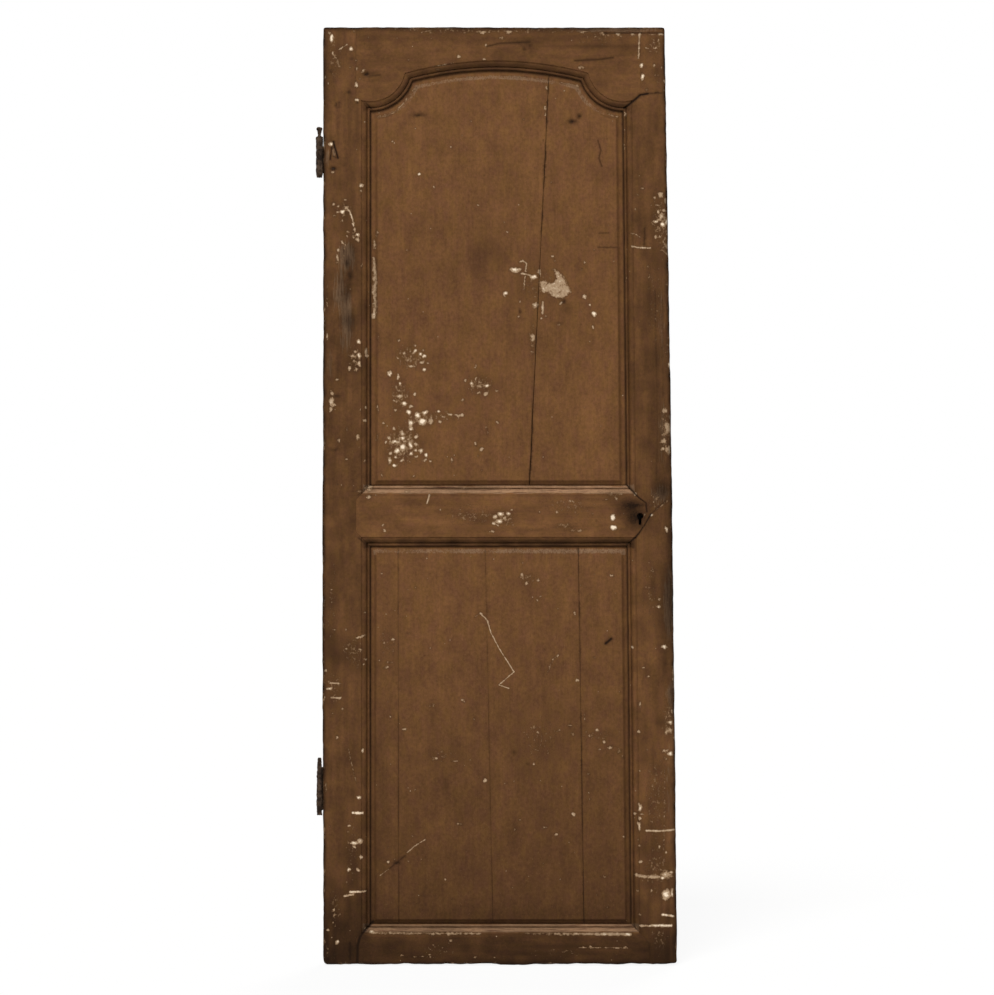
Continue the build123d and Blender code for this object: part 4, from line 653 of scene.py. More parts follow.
# Creases that carry the moulding, in millimetres out from the sight line
OVOLO_LINES = (
    0.35, 0.9, 1.9, 3.25, 4.6, 5.6, 6.15, 6.6, 7.4, 7.6,
    8.1, 9.1, 10.7, 13.0, 15.2, 16.4, 18.7, 19.5, 21.5,
)


def spaced(points, step, closed=False):
    """The same run of points with none further apart than step."""
    ends = list(points) + ([points[0]] if closed else [])
    run = []
    for (ax, az), (bx, bz) in zip(ends, ends[1:]):
        count = max(1, int(math.ceil(math.hypot(bx - ax, bz - az) / step)))
        run += [(ax + (bx - ax) * k / count, az + (bz - az) * k / count) for k in range(count)]
    return run if closed else run + [ends[-1]]


def cut_at(points, side, closed):
    """The part of a run or polygon where side(point) is not negative, cut on the line itself."""
    pairs = list(zip(points, points[1:] + points[:1])) if closed else list(zip(points, points[1:]))
    kept = []
    for a, b in pairs:
        sa, sb = side(a), side(b)
        if sa >= 0:
            kept.append(a)
        if sa * sb < 0:
            t = sa / (sa - sb)
            kept.append((a[0] + (b[0] - a[0]) * t, a[1] + (b[1] - a[1]) * t))
    if not closed and side(points[-1]) >= 0:
        kept.append(points[-1])
    return kept


def within(x, z, polygon):
    """Which plan points lie inside a polygon."""
    inside = np.zeros(np.shape(x), bool)
    for (ax, az), (bx, bz) in zip(polygon, polygon[1:] + polygon[:1]):
        if az != bz:
            crosses = (az > z) != (bz > z)
            inside ^= crosses & (x < (bx - ax) * (z - az) / (bz - az) + ax)
    return inside


def triangulate(loops, creases, inner):
    """Constrained triangles of a plan: closed loops, open creases and loose points."""
    points, edges = [], []
    for loop in loops:
        first = len(points)
        points += loop
        edges += [(first + k, first + (k + 1) % len(loop)) for k in range(len(loop))]
    for line in creases:
        first = len(points)
        points += line
        edges += [(first + k, first + k + 1) for k in range(len(line) - 1)]
    points += inner
    plan, _, faces, *_ = delaunay_2d_cdt([Vector(p) for p in points], edges, [], 1, 1e-5)
    plan = np.array([tuple(p) for p in plan])
    faces = np.array([tuple(f) for f in faces if len(f) == 3], dtype=np.int64)
    middle = plan[faces].mean(axis=1)
    keep = within(middle[:, 0], middle[:, 1], loops[0])
    for hole in loops[1:]:
        keep &= ~within(middle[:, 0], middle[:, 1], hole)
    faces = faces[keep]
    used = np.unique(faces)
    index = np.full(len(plan), -1)
    index[used] = np.arange(len(used))
    return plan[used], index[faces]


def rims(faces):
    """Closed boundary loops of a triangle set, in the faces' own turning sense."""
    seen = {}
    for a, b, c in faces.tolist():
        for edge in ((a, b), (b, c), (c, a)):
            seen[edge] = True
    onward = {a: b for a, b in seen if (b, a) not in seen}
    loops = []
    while onward:
        start, at = onward.popitem()
        loop = [start]
        while at != start:
            loop.append(at)
            at = onward.pop(at)
        loops.append(loop)
    return loops


def scatter(polygon, step, seed, free):
    """Jittered points inside a polygon where free(x, z) is true, away from its edges."""
    low, high = np.min(polygon, axis=0), np.max(polygon, axis=0)
    x, z = np.meshgrid(np.arange(low[0], high[0], step), np.arange(low[1], high[1], step))
    random = np.random.default_rng(seed)
    x = x.ravel() + random.uniform(-0.25, 0.25, x.size) * step
    z = z.ravel() + random.uniform(-0.25, 0.25, z.size) * step
    keep = free(x, z)
    x, z = x[keep], z[keep]
    keep = within(x, z, polygon)
    x, z = x[keep], z[keep]
    keep = run_distance(x, z, list(polygon) + [polygon[0]]) > step * 0.4
    return [(float(a), float(b)) for a, b in zip(x[keep], z[keep])]


def anywhere(x, z):
    """Every plan point is free."""
    return np.full(np.shape(x), True)


def face_points(polygon, sizes, seed, free):
    """Points of a face: even over plain paint, closer where chips, scratches and cracks lie."""

    def plain(x, z):
        return free(x, z) & (marked(x, z) < MARK_EDGE)

    def worked(x, z):
        return free(x, z) & (marked(x, z) >= MARK_EDGE)

    points = scatter(polygon, sizes.mesh_step / MM, seed, plain)
    return points + scatter(polygon, sizes.mark_step / MM, seed + 1, worked)


# Which part of a shell a point belongs to
FRONT, WALL, REAR = 0.0, 1.0, 2.0


def slab(plan, faces, front, back, back_step, seed, turn=1.2):
    """Closed shell over a plan: relief in front, walls, and a back with its arris taken off."""
    loops = rims(faces)
    points = [np.column_stack((plan[:, 0], front, plan[:, 1]))]
    part = [np.full(len(plan), FRONT)]
    all_faces = [tuple(f) for f in faces.tolist()]
    count = len(plan)
    ends = []
    for loop in loops:
        ring = plan[loop]
        onward, before = np.roll(ring, -1, axis=0) - ring, ring - np.roll(ring, 1, axis=0)
        way = onward / np.maximum(np.linalg.norm(onward, axis=1), 1e-9)[:, None]
        way = way + before / np.maximum(np.linalg.norm(before, axis=1), 1e-9)[:, None]
        inward = np.column_stack((-way[:, 1], way[:, 0]))
        inward /= np.maximum(np.linalg.norm(inward, axis=1), 1e-9)[:, None]
        start = front[loop]
        rows = [list(loop)]
        # Rows of the wall: share of its depth and inset; the third ends where the back's arris starts
        for share, inset in ((0.35, 0.0), (0.7, 0.0), (None, 0.0), (1.0, turn)):
            depth = back - turn if share is None else start + (back - start) * share
            depth = np.minimum(depth, back - (turn if inset == 0.0 else 0.0))
            spot = ring + inward * inset
            points.append(np.column_stack((spot[:, 0], np.broadcast_to(depth, len(loop)), spot[:, 1])))
            part.append(np.full(len(loop), REAR if inset else WALL))
            rows.append(list(range(count, count + len(loop))))
            count += len(loop)
        for upper, lower in zip(rows, rows[1:]):
            for k in range(len(loop)):
                n = (k + 1) % len(loop)
                all_faces.append((upper[k], lower[k], lower[n], upper[n]))
        ends.append((rows[-1], [tuple(p) for p in (ring + inward * turn).tolist()]))
    outer = max(ends, key=lambda end: np.ptp(np.array(end[1])[:, 1]))
    order = [outer] + [end for end in ends if end is not outer]
    inner = scatter(outer[1], back_step, seed, anywhere)
    back_plan, back_faces = triangulate([end[1] for end in order], [], inner)
    known = {}
    for indices, ring in order:
        for index, point in zip(indices, ring):
            known[(round(point[0], 3), round(point[1], 3))] = index
    place = np.zeros(len(back_plan), dtype=np.int64)
    fresh = []
    for k, point in enumerate(back_plan.tolist()):
        index = known.get((round(point[0], 3), round(point[1], 3)))
        if index is None:
            index = count
            count += 1
            wave = 0.25 * float(drift(point[0], point[1], 60, seed + 9))
            fresh.append((point[0], back + wave, point[1]))
        place[k] = index
    if fresh:
        points.append(np.array(fresh))
        part.append(np.full(len(fresh), REAR))
    all_faces += [tuple(int(place[v]) for v in reversed(f)) for f in back_faces.tolist()]
    return np.concatenate(points), np.concatenate(part), all_faces


def joined(*shells):
    """Several shells as one set of points, parts and faces."""
    points, parts, faces, first = [], [], [], 0
    for shell_points, shell_part, shell_faces in shells:
        points.append(shell_points)
        parts.append(shell_part)
        faces += [tuple(v + first for v in face) for face in shell_faces]
        first += len(shell_points)
    return np.concatenate(points), np.concatenate(parts), faces


def block(low, high, turn):
    """A small chamfered wooden block between two corners, in millimetres."""
    ring = [(low[1], low[2]), (high[1], low[2]), (high[1], high[2]), (low[1], high[2])]
    middle = ((low[1] + high[1]) / 2, (low[2] + high[2]) / 2)
    points, faces = [], []
    for x, inset in ((low[0], turn), (low[0] + turn, 0), (high[0] - turn, 0), (high[0], turn)):
        for y, z in ring:
            dy, dz = math.copysign(inset, middle[0] - y), math.copysign(inset, middle[1] - z)
            points.append((x, y + dy, z + dz))
    for row in range(3):
        for k in range(4):
            n = (k + 1) % 4
            faces.append((row * 4 + k, row * 4 + n, row * 4 + 4 + n, row * 4 + 4 + k))
    faces += [(3, 2, 1, 0), (12, 13, 14, 15)]
    return np.array(points), np.full(16, WALL), [tuple(reversed(face)) for face in faces]


# Finishes

# Point fields that the paint reads
FIELDS = ("wear", "bare", "grime_and_shade", "tone")


def linear(code, alpha=1.0):
    """Linear colour of an sRGB hex code."""
    parts = [int(code[k : k + 2], 16) / 255 for k in (0, 2, 4)]
    return tuple(c / 12.92 if c <= 0.04045 else ((c + 0.055) / 1.055) ** 2.4 for c in parts) + (alpha,)


def node(tree, kind, values=None, **settings):
    """Add a node with its settings; a value that is a node or an output socket is linked.

    By number, Map Range takes its value, the range it comes from and the range it goes to; a colour Mix
    takes its factor at 0 and its colours at 6 and 7."""
    made = tree.nodes.new(kind)
    for name, value in settings.items():
        setattr(made, name, value)
    for key, value in (values or {}).items():
        if isinstance(value, bpy.types.Node):
            value = next(socket for socket in value.outputs if socket.enabled)
        if isinstance(value, bpy.types.NodeSocket):
            tree.links.new(value, made.inputs[key])
        else:
            made.inputs[key].default_value = value
    return made


def new_material(name):
    """An empty node material and its tree."""
    material = bpy.data.materials.new(name)
    material.use_nodes = True
    material.node_tree.nodes.clear()
    return material, material.node_tree


def brushed_oil_paint(name, grain, finishes):
    """Old brown oil paint brushed on softwood: a dull skin with faint brush lines along the grain,
    chipped to a cream undercoat, rubbed to bare wood and dirty, with painted shade in every recess
    and painted highlights where mouldings face up."""
    material, tree = new_material(name)
    where = node(tree, "ShaderNodeTexCoord").outputs["Object"]
    wear, bare, grime_and_shade, tone = (
        node(tree, "ShaderNodeAttribute", attribute_name=key).outputs["Fac"] for key in FIELDS
    )
    # Millimetres across and along the grain: brush lines, open pores, flakes of paint, clouds, hues, dust
    # Brush lines and pores are finer on a real leaf, and are drawn this coarse so that they show
    noise = {}
    for key, across, along, detail in (
        ("brush", 3.4, 120.0, 4.0), ("pores", 1.8, 34.0, 3.0), ("flakes", 7.0, 8.0, 5.0),
        ("clouds", 46.0, 70.0, 4.0), ("hues", 16.0, 26.0, 4.0), ("dust", 3.0, 3.4, 3.0),
    ):
        short, long = 1 / (across * MM), 1 / (along * MM)
        scale = (short, short, long) if grain == "upright" else (long, short, short)
        at = node(tree, "ShaderNodeMapping", {"Vector": where, "Scale": scale})
        values = {"Vector": at, "Scale": 1.0, "Detail": detail, "Roughness": 0.62}
        noise[key] = node(tree, "ShaderNodeTexNoise", values)
    # Stray pin-head chips in cells 30 mm wide, and rubbed dabs in cells 44 mm wide
    worn = wear
    for cell, near, far, strength in ((30, 0.03, 0.075, 0.57), (44, 0.03, 0.11, 0.5)):
        cells = node(tree, "ShaderNodeTexVoronoi", {"Vector": where, "Scale": 1 / (cell * MM)})
        away = cells.outputs["Distance"]
        dots = node(tree, "ShaderNodeMapRange", {0: away, 1: near, 2: far, 3: strength, 4: 0.0})
        worn = node(tree, "ShaderNodeMath", {0: worn, 1: dots}, operation="MAXIMUM")

    shade = tone
    for key, low, high in (
        ("brush", 0.94, 1.06), ("clouds", 0.86, 1.14), ("flakes", 0.82, 1.18), ("dust", 0.95, 1.05),
    ):
        swing = node(tree, "ShaderNodeMapRange", {0: noise[key], 1: 0.3, 2: 0.7, 3: low, 4: high})
        shade = node(tree, "ShaderNodeMath", {0: shade, 1: swing}, operation="MULTIPLY")
    hue = node(tree, "ShaderNodeMapRange", {0: noise["hues"], 1: 0.32, 2: 0.68, 3: 0.0, 4: 1.0})
    values = {0: hue, 6: tuple(finishes.paint_redder), 7: tuple(finishes.paint)}
    paint = node(tree, "ShaderNodeMix", values, data_type="RGBA")
    colour = node(tree, "ShaderNodeVectorMath", {0: paint, 3: shade}, operation="SCALE")

    swing = node(tree, "ShaderNodeMapRange", {0: noise["flakes"], 1: 0.2, 2: 0.8, 3: -0.33, 4: 0.33})
    ragged = node(tree, "ShaderNodeMath", {0: worn, 1: swing}, operation="ADD")
    swing = node(tree, "ShaderNodeMapRange", {0: noise["dust"], 1: 0.2, 2: 0.8, 3: -0.18, 4: 0.18})
    ragged = node(tree, "ShaderNodeMath", {0: ragged, 1: swing}, operation="ADD")
    swing = node(tree, "ShaderNodeMapRange", {0: noise["pores"], 1: 0.25, 2: 0.75, 3: -0.35, 4: 0.35})
    opened = node(tree, "ShaderNodeMath", {0: bare, 1: swing}, operation="ADD")
    # Grime stirred by dust noise; it carries the painted shade of recesses as well as dirt
    swing = node(tree, "ShaderNodeMapRange", {0: noise["dust"], 1: 0.25, 2: 0.75, 3: 0.95, 4: 1.4})
    grimed_and_shaded = node(tree, "ShaderNodeMath", {0: grime_and_shade, 1: swing}, operation="MULTIPLY", use_clamp=True)
    # One coat darkens the ragged rim round each chip: dirt caught there together with a painted shadow of its
    # broken edge
    masks = {}
    for key, source, low, high, top in (
        ("opened", opened, 0.36, 0.62, 0.9), ("caught_dirt_and_rim_shadow", ragged, 0.22, 0.4, 0.34),
        ("rubbed_and_highlit", ragged, 0.4, 0.55, 0.8), ("chipped", ragged, 0.54, 0.66, 1.0),
        ("clean", ragged, 0.76, 1.06, 1.0), ("grain", noise["pores"], 0.3, 0.53, 1.0),
        ("specked", noise["dust"], 0.36, 0.24, 0.3), ("dusted", noise["dust"], 0.63, 0.75, 0.24),
    ):
        values = {0: source, 1: low, 2: high, 3: 0.0, 4: top}
        masks[key] = node(tree, "ShaderNodeMapRange", values, interpolation_type="SMOOTHSTEP")
    values = {0: masks["grain"], 6: tuple(finishes.wood_dark), 7: tuple(finishes.wood)}
    wood = node(tree, "ShaderNodeMix", values, data_type="RGBA")
    wood = node(tree, "ShaderNodeVectorMath", {0: wood, 3: shade}, operation="SCALE")
    values = {0: masks["clean"], 6: tuple(finishes.undercoat), 7: tuple(finishes.undercoat_clean)}
    cream = node(tree, "ShaderNodeMix", values, data_type="RGBA")
    dirt_and_shade, thin = tuple(finishes.grime_and_shade), tuple(finishes.rubbed_and_highlit)
    # The rubbed coat also lays painted highlights on upward slopes and mouldings; the grime coat also lays
    # painted shade in recesses
    for share, coat in (
        (masks["specked"], dirt_and_shade), (masks["dusted"], thin), (masks["opened"], wood),
        (masks["caught_dirt_and_rim_shadow"], dirt_and_shade), (masks["rubbed_and_highlit"], thin), (masks["chipped"], cream), (grimed_and_shaded, dirt_and_shade),
    ):
        colour = node(tree, "ShaderNodeMix", {0: share, 6: colour, 7: coat}, data_type="RGBA")

    rough = node(tree, "ShaderNodeMapRange", {0: noise["brush"], 1: 0.3, 2: 0.7, 3: 0.56, 4: 0.7})
    height = node(tree, "ShaderNodeMath", {0: noise["brush"], 1: 0.45}, operation="MULTIPLY")
    height = node(tree, "ShaderNodeMath", {0: noise["flakes"], 1: 0.6, 2: height}, operation="MULTIPLY_ADD")
    height = node(tree, "ShaderNodeMath", {0: masks["chipped"], 1: -0.9, 2: height}, operation="MULTIPLY_ADD")
    furrows = node(tree, "ShaderNodeMath", {0: masks["opened"], 1: noise["pores"]}, operation="MULTIPLY")
    height = node(tree, "ShaderNodeMath", {0: furrows, 1: 1.4, 2: height}, operation="MULTIPLY_ADD")
    bump = node(tree, "ShaderNodeBump", {"Strength": 0.55, "Distance": 0.7 * MM, "Height": height})
    shader = node(
        tree, "ShaderNodeBsdfPrincipled",
        {"Base Color": colour, "Roughness": rough, "Normal": bump, "IOR": 1.48, "Specular IOR Level": 0.06},
    )
    node(tree, "ShaderNodeOutputMaterial", {"Surface": shader})
    return material


def rusted_iron(name, dark, rust, metallic, roughness, shine):
    """Hand-forged iron left to the weather: dark scale with soft brown rust 12 mm wide, and pits, which are
    drawn 2 mm wide so that they show."""
    material, tree = new_material(name)
    where = node(tree, "ShaderNodeTexCoord").outputs["Object"]
    values = {"Vector": where, "Scale": 1 / (12 * MM), "Detail": 5.0, "Roughness": 0.65}
    patch = node(tree, "ShaderNodeTexNoise", values)
    pits = node(tree, "ShaderNodeTexNoise", {"Vector": where, "Scale": 1 / (2 * MM), "Detail": 3.0})
    share = node(tree, "ShaderNodeMapRange", {0: patch, 1: 0.42, 2: 0.72, 3: 0.0, 4: 1.0})
    colour = node(tree, "ShaderNodeMix", {0: share, 6: dark, 7: rust}, data_type="RGBA")
    metal = node(tree, "ShaderNodeMapRange", {0: share, 1: 0.0, 2: 1.0, 3: metallic, 4: 0.05})
    rough = node(tree, "ShaderNodeMapRange", {0: share, 1: 0.0, 2: 1.0, 3: roughness, 4: 0.88})
    bump = node(tree, "ShaderNodeBump", {"Strength": 0.7, "Distance": 0.6 * MM, "Height": pits})
    values = {"Base Color": colour, "Metallic": metal, "Roughness": rough, "Normal": bump}
    shader = node(tree, "ShaderNodeBsdfPrincipled", {**values, "Specular IOR Level": shine})
    node(tree, "ShaderNodeOutputMaterial", {"Surface": shader})
    return material


def finish_named(name, finishes):
    """The door's material of that name, made on first use."""
    if name in bpy.data.materials:
        return bpy.data.materials[name]
    if name.startswith("brushed_oil_paint"):
        return brushed_oil_paint(name, name.split("_")[-1], finishes)
    if name == "forged_hinge_iron":
        return rusted_iron(name, tuple(finishes.iron), tuple(finishes.hinge_rust), 0.1, 0.8, 0.12)
    return rusted_iron(name, tuple(finishes.lock_iron), tuple(finishes.rust), 0.55, 0.5, 0.4)


# Geometry Nodes trees
def piece_tree(name, inputs):
    """A new tree with the named inputs between its geometry and its material, and those inputs' sockets."""
    tree = bpy.data.node_groups.new(name, "GeometryNodeTree")
    for label, kind in (("Geometry", "Geometry"), *inputs, ("Material", "Material")):
        tree.interface.new_socket(label, in_out="INPUT", socket_type="NodeSocket" + kind)
    tree.interface.new_socket("Geometry", in_out="OUTPUT", socket_type="NodeSocketGeometry")
    return tree, node(tree, "NodeGroupInput").outputs


def worn_surface_tree():
    """Lifts the grain: moves every point along its normal by long noise, more where wood is bare."""
    if "worn_surface" in bpy.data.node_groups:
        return bpy.data.node_groups["worn_surface"]
    tree, given = piece_tree("worn_surface", (("Depth", "Float"), ("Grain", "Vector")))
    spot = node(tree, "GeometryNodeInputPosition")
    scaled = node(tree, "ShaderNodeVectorMath", {0: spot, 1: given["Grain"]}, operation="DIVIDE")
    noise = node(tree, "ShaderNodeTexNoise", {"Vector": scaled, "Scale": 1.0, "Detail": 2.0})
    level = node(tree, "ShaderNodeMath", {0: noise, 1: 0.5}, operation="SUBTRACT")
    bare = node(tree, "GeometryNodeInputNamedAttribute", {"Name": "bare"}, data_type="FLOAT")
    lift = node(tree, "ShaderNodeMath", {0: bare, 1: 3.0, 2: 1.0}, operation="MULTIPLY_ADD")
    lift = node(tree, "ShaderNodeMath", {0: lift, 1: level}, operation="MULTIPLY")
    lift = node(tree, "ShaderNodeMath", {0: lift, 1: given["Depth"]}, operation="MULTIPLY")
    normal = node(tree, "GeometryNodeInputNormal")
    move = node(tree, "ShaderNodeVectorMath", {0: normal, 3: lift}, operation="SCALE")
    moved = node(tree, "GeometryNodeSetPosition", {"Geometry": given["Geometry"], "Offset": move})
    whole = node(tree, "GeometryNodeRealizeInstances", {"Geometry": moved})
    dressed = node(tree, "GeometryNodeSetMaterial", {"Geometry": whole, "Material": given["Material"]})
    node(tree, "NodeGroupOutput", {0: dressed})
    return tree


def fastenings_tree():
    """A domed head on a straight shank at every loose point, each turned and sized a little differently."""
    if "driven_fastenings" in bpy.data.node_groups:
        return bpy.data.node_groups["driven_fastenings"]
    sizes = ("Head radius", "Head height", "Shank radius", "Shank length", "Facing")
    tree, given = piece_tree("driven_fastenings", [(name, "Float") for name in sizes])
    dome = node(tree, "GeometryNodeMeshUVSphere", {"Segments": 16, "Rings": 8, "Radius": 1.0})
    radius, height = given["Head radius"], given["Head height"]
    size = node(tree, "ShaderNodeCombineXYZ", {0: radius, 1: radius, 2: height})
    head = node(tree, "GeometryNodeTransform", {"Geometry": dome, "Scale": size})
    rod = node(
        tree, "GeometryNodeMeshCylinder",
        {"Vertices": 16, "Radius": given["Shank radius"], "Depth": given["Shank length"]},
    )
    half = node(tree, "ShaderNodeMath", {0: given["Shank length"], 1: -0.5}, operation="MULTIPLY")
    below = node(tree, "ShaderNodeCombineXYZ", {2: half})
    shank = node(tree, "GeometryNodeTransform", {"Geometry": rod, "Translation": below})
    both = node(tree, "GeometryNodeJoinGeometry", {0: head})
    tree.links.new(shank.outputs[0], both.inputs[0])
    points = node(tree, "GeometryNodeMeshToPoints", {"Mesh": given["Geometry"]})
    turn = node(tree, "FunctionNodeRandomValue", {2: 0.0, 3: 2 * math.pi, "Seed": 5}, data_type="FLOAT")
    turned = node(tree, "ShaderNodeCombineXYZ", {0: given["Facing"], 1: turn})
    values = {0: (0.93, 0.93, 0.98), 1: (1.05, 1.05, 1.0), "Seed": 7}
    uneven = node(tree, "FunctionNodeRandomValue", values, data_type="FLOAT_VECTOR")
    values = {"Points": points, "Instance": both, "Rotation": turned, "Scale": uneven}
    placed = node(tree, "GeometryNodeInstanceOnPoints", values)
    whole = node(tree, "GeometryNodeRealizeInstances", {"Geometry": placed})
    smooth = node(tree, "GeometryNodeSetShadeSmooth", {0: whole})
    dressed = node(tree, "GeometryNodeSetMaterial", {"Geometry": smooth, "Material": given["Material"]})
    node(tree, "NodeGroupOutput", {0: dressed})
    return tree


def through_tree(obj, tree, values):
    """Run a piece through a Geometry Nodes tree and keep the result as its plain mesh."""
    modifier = obj.modifiers.new(tree.name, "NODES")
    modifier.node_group = tree
    for item in tree.interface.items_tree:
        if item.item_type == "SOCKET" and item.in_out == "INPUT" and item.name in values:
            modifier[item.identifier] = values[item.name]
    graph = bpy.context.evaluated_depsgraph_get()
    made = obj.evaluated_get(graph)
    mesh = bpy.data.meshes.new_from_object(made, preserve_all_data_layers=True, depsgraph=graph)
    obj.modifiers.clear()
    old = obj.data
    obj.data = mesh
    bpy.data.meshes.remove(old)
    mesh.name = obj.name


def new_object(name, points, faces):
    """An object at the origin with a mesh of the given points, in millimetres, and faces."""
    mesh = bpy.data.meshes.new(name)
    mesh.from_pydata(np.asarray(points) * MM, [], faces)
    obj = bpy.data.objects.new(name, mesh)
    bpy.context.scene.collection.objects.link(obj)
    return obj


# Wooden pieces

# Depth to which a wall takes the marks of the face, and the angle that stays a sharp edge
WALL_MARKS, SHARP = 16.0, math.radians(38)
# Spacing of points behind the lip, on the front of a core and on the backs
LIP_STEP, CORE_STEP, BACK_STEP = 12.0, 24.0, 8.0


def aged_fields(points, part, recess, member, grain):
    """Wear, bare wood, grime and tone at every point of a wooden piece."""
    # The recess gives painted shade with the joints' dirt, and a painted highlight laid on as paint rubbed to
    # bare wood
    dirt_and_shade, rubbed_and_highlit = recess
    x, y, z = points.T
    near = (part == FRONT) | ((part == WALL) & (y < WALL_MARKS))
    wx = x + 1.6 * drift(x, z, 8, 21) + 0.9 * drift(x, z, 3.5, 22)
    wz = z + 1.6 * drift(x, z, 8, 23) + 0.9 * drift(x, z, 3.5, 24)
    rim = rim_distance(x, z)
    exposed = np.where(part == FRONT, 1.0, np.where(part == WALL, 0.45, 0.2))
    chipped = np.maximum(spots(CHIPS, wx, wz), flakes_off(FLAKES, wx, wz))
    wear = np.maximum(chipped, strokes(SCRATCHES, x, z)) * near
    wear = np.maximum(wear, 0.04 + 0.06 * drift(x, z, 45, 25))
    wear = np.maximum(wear, exposed * np.exp(-((rim / 6) ** 2)) * (0.36 + 0.36 * drift(x, z, 15, 32)))
    bare = np.where(near, np.maximum(spots(BARE, wx, wz), rubbed_and_highlit), 0.1)
    bare = np.maximum(bare, exposed * np.exp(-((rim / 3.5) ** 2)) * (0.35 + 0.3 * drift(x, z, 30, 33)))
    # Grime field: real stains and dark cracks, dirt with painted edge shade along the outer edges, and the
    # painted shade of the recesses
    grime_and_shade = np.where(near, np.maximum(spots(STAINS, wx, wz), strokes(CRACKS, x, z)), 0.12)
    grime_and_shade = np.maximum(grime_and_shade, exposed * np.exp(-((rim / 5.8) ** 2)) * (0.72 + 0.4 * drift(x, z, 17, 31)))
    grime_and_shade = np.clip(np.maximum(grime_and_shade, dirt_and_shade), 0, 1)
    rows = np.array(TONES[member])
    tone = np.interp(PHOTO_FOOT - (z - FOOT) / PIXEL, rows[:, 0], rows[:, 1])
    streak = drift(x, z / 8, 8, 34) if grain == "upright" else drift(x / 8, z, 8, 34)
    lively = 0.025 if member.endswith("panel") else 0.065
    tone = tone + shading(x, z) * near + lively * (streak + drift(x, z, 24, 35))
    return dict(zip(FIELDS, (wear, bare, grime_and_shade, np.maximum(tone, 0.2) ** 2.2)))


def keep_fields(mesh, fields):
    """Store the fields as point attributes that the paint reads."""
    for key, values in fields.items():
        mesh.attributes.new(key, "FLOAT", "POINT").data.foreach_set("value", np.asarray(values, np.float32))


def wooden_piece(name, shell, recess, member, grain, sizes, finishes, nodes):
    """Make a wooden piece of the leaf from its shell and put it in place of its CAD node."""
    points, part, faces = shell
    x, z = settled(points[:, 0], points[:, 2])
    obj = new_object(name, np.column_stack((x, points[:, 1], z)), faces)
    keep_fields(obj.data, aged_fields(points, part, recess, member, grain))
    obj.data.shade_smooth()
    obj.data.set_sharp_from_angle(angle=SHARP)
    obj.data.validate()
    width, length = sizes.grain_width, sizes.grain_length
    through_tree(obj, worn_surface_tree(), {
        "Depth": sizes.grain_depth,
        "Grain": (width, width, length) if grain == "upright" else (length, width, width),
        "Material": finish_named("brushed_oil_paint_" + grain, finishes),
    })
    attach(obj, "leaf")
    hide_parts(*nodes)


def arris(x, z, outline, sizes):
    """Depth lost to the arrises along a plan's outer edges and joints, nibbled along the outer ones."""
    lost = np.zeros(np.shape(x))
    corners = [(px, pz) for px, pz, _ in outline]
    chewed = 1.0 + 0.9 * np.maximum(drift(x, z, 17, 36), -0.4) + 0.4 * drift(x, z, 6, 37)
    for k, (px, pz, kind) in enumerate(outline):
        radius = {"edge": sizes.arris / MM * chewed, "joint": sizes.joint_arris / MM}.get(kind)
        if radius is not None:
            away = run_distance(x, z, [(px, pz), corners[(k + 1) % len(corners)]])
            into = np.clip(1 - away / radius, 0, 1)
            lost = np.maximum(lost, radius * (1 - np.sqrt(np.maximum(1 - into * into, 0))) * 0.9)
    return lost


def arris_lines(outline, sizes, step):
    """Creases just inside the outline that carry its rounded arrises."""
    corners = [(px, pz) for px, pz, _ in outline]
    area = sum(ax * bz - bx * az for (ax, az), (bx, bz) in zip(corners, corners[1:] + corners[:1]))
    lines = []
    for k, (px, pz, kind) in enumerate(outline):
        radius = {"edge": sizes.arris / MM, "joint": sizes.joint_arris / MM}.get(kind, 0)
        qx, qz = corners[(k + 1) % len(corners)]
        length = math.hypot(qx - px, qz - pz)
        if radius and length > 8:
            ux, uz = (qx - px) / length, (qz - pz) / length
            nx, nz = (-uz, ux) if area > 0 else (uz, -ux)
            for inset in (radius * 0.3, radius * 0.65, radius):
                trim = inset + 0.5
                start = (px + ux * trim + nx * inset, pz + uz * trim + nz * inset)
                end = (qx - ux * trim + nx * inset, qz - uz * trim + nz * inset)
                lines.append(spaced([start, end], step))
    return lines


def unevenness(x, z, seed):
    """Slow waves of a hand-planed, many times painted face, with its dents and cracks."""
    waves = 0.3 * drift(x, z, 95, seed) + 0.12 * drift(x, z, 31, seed + 1)
    return waves + spots(DENTS, x, z) + 0.9 * np.maximum(strokes(CRACKS, x, z) - 0.3, 0)


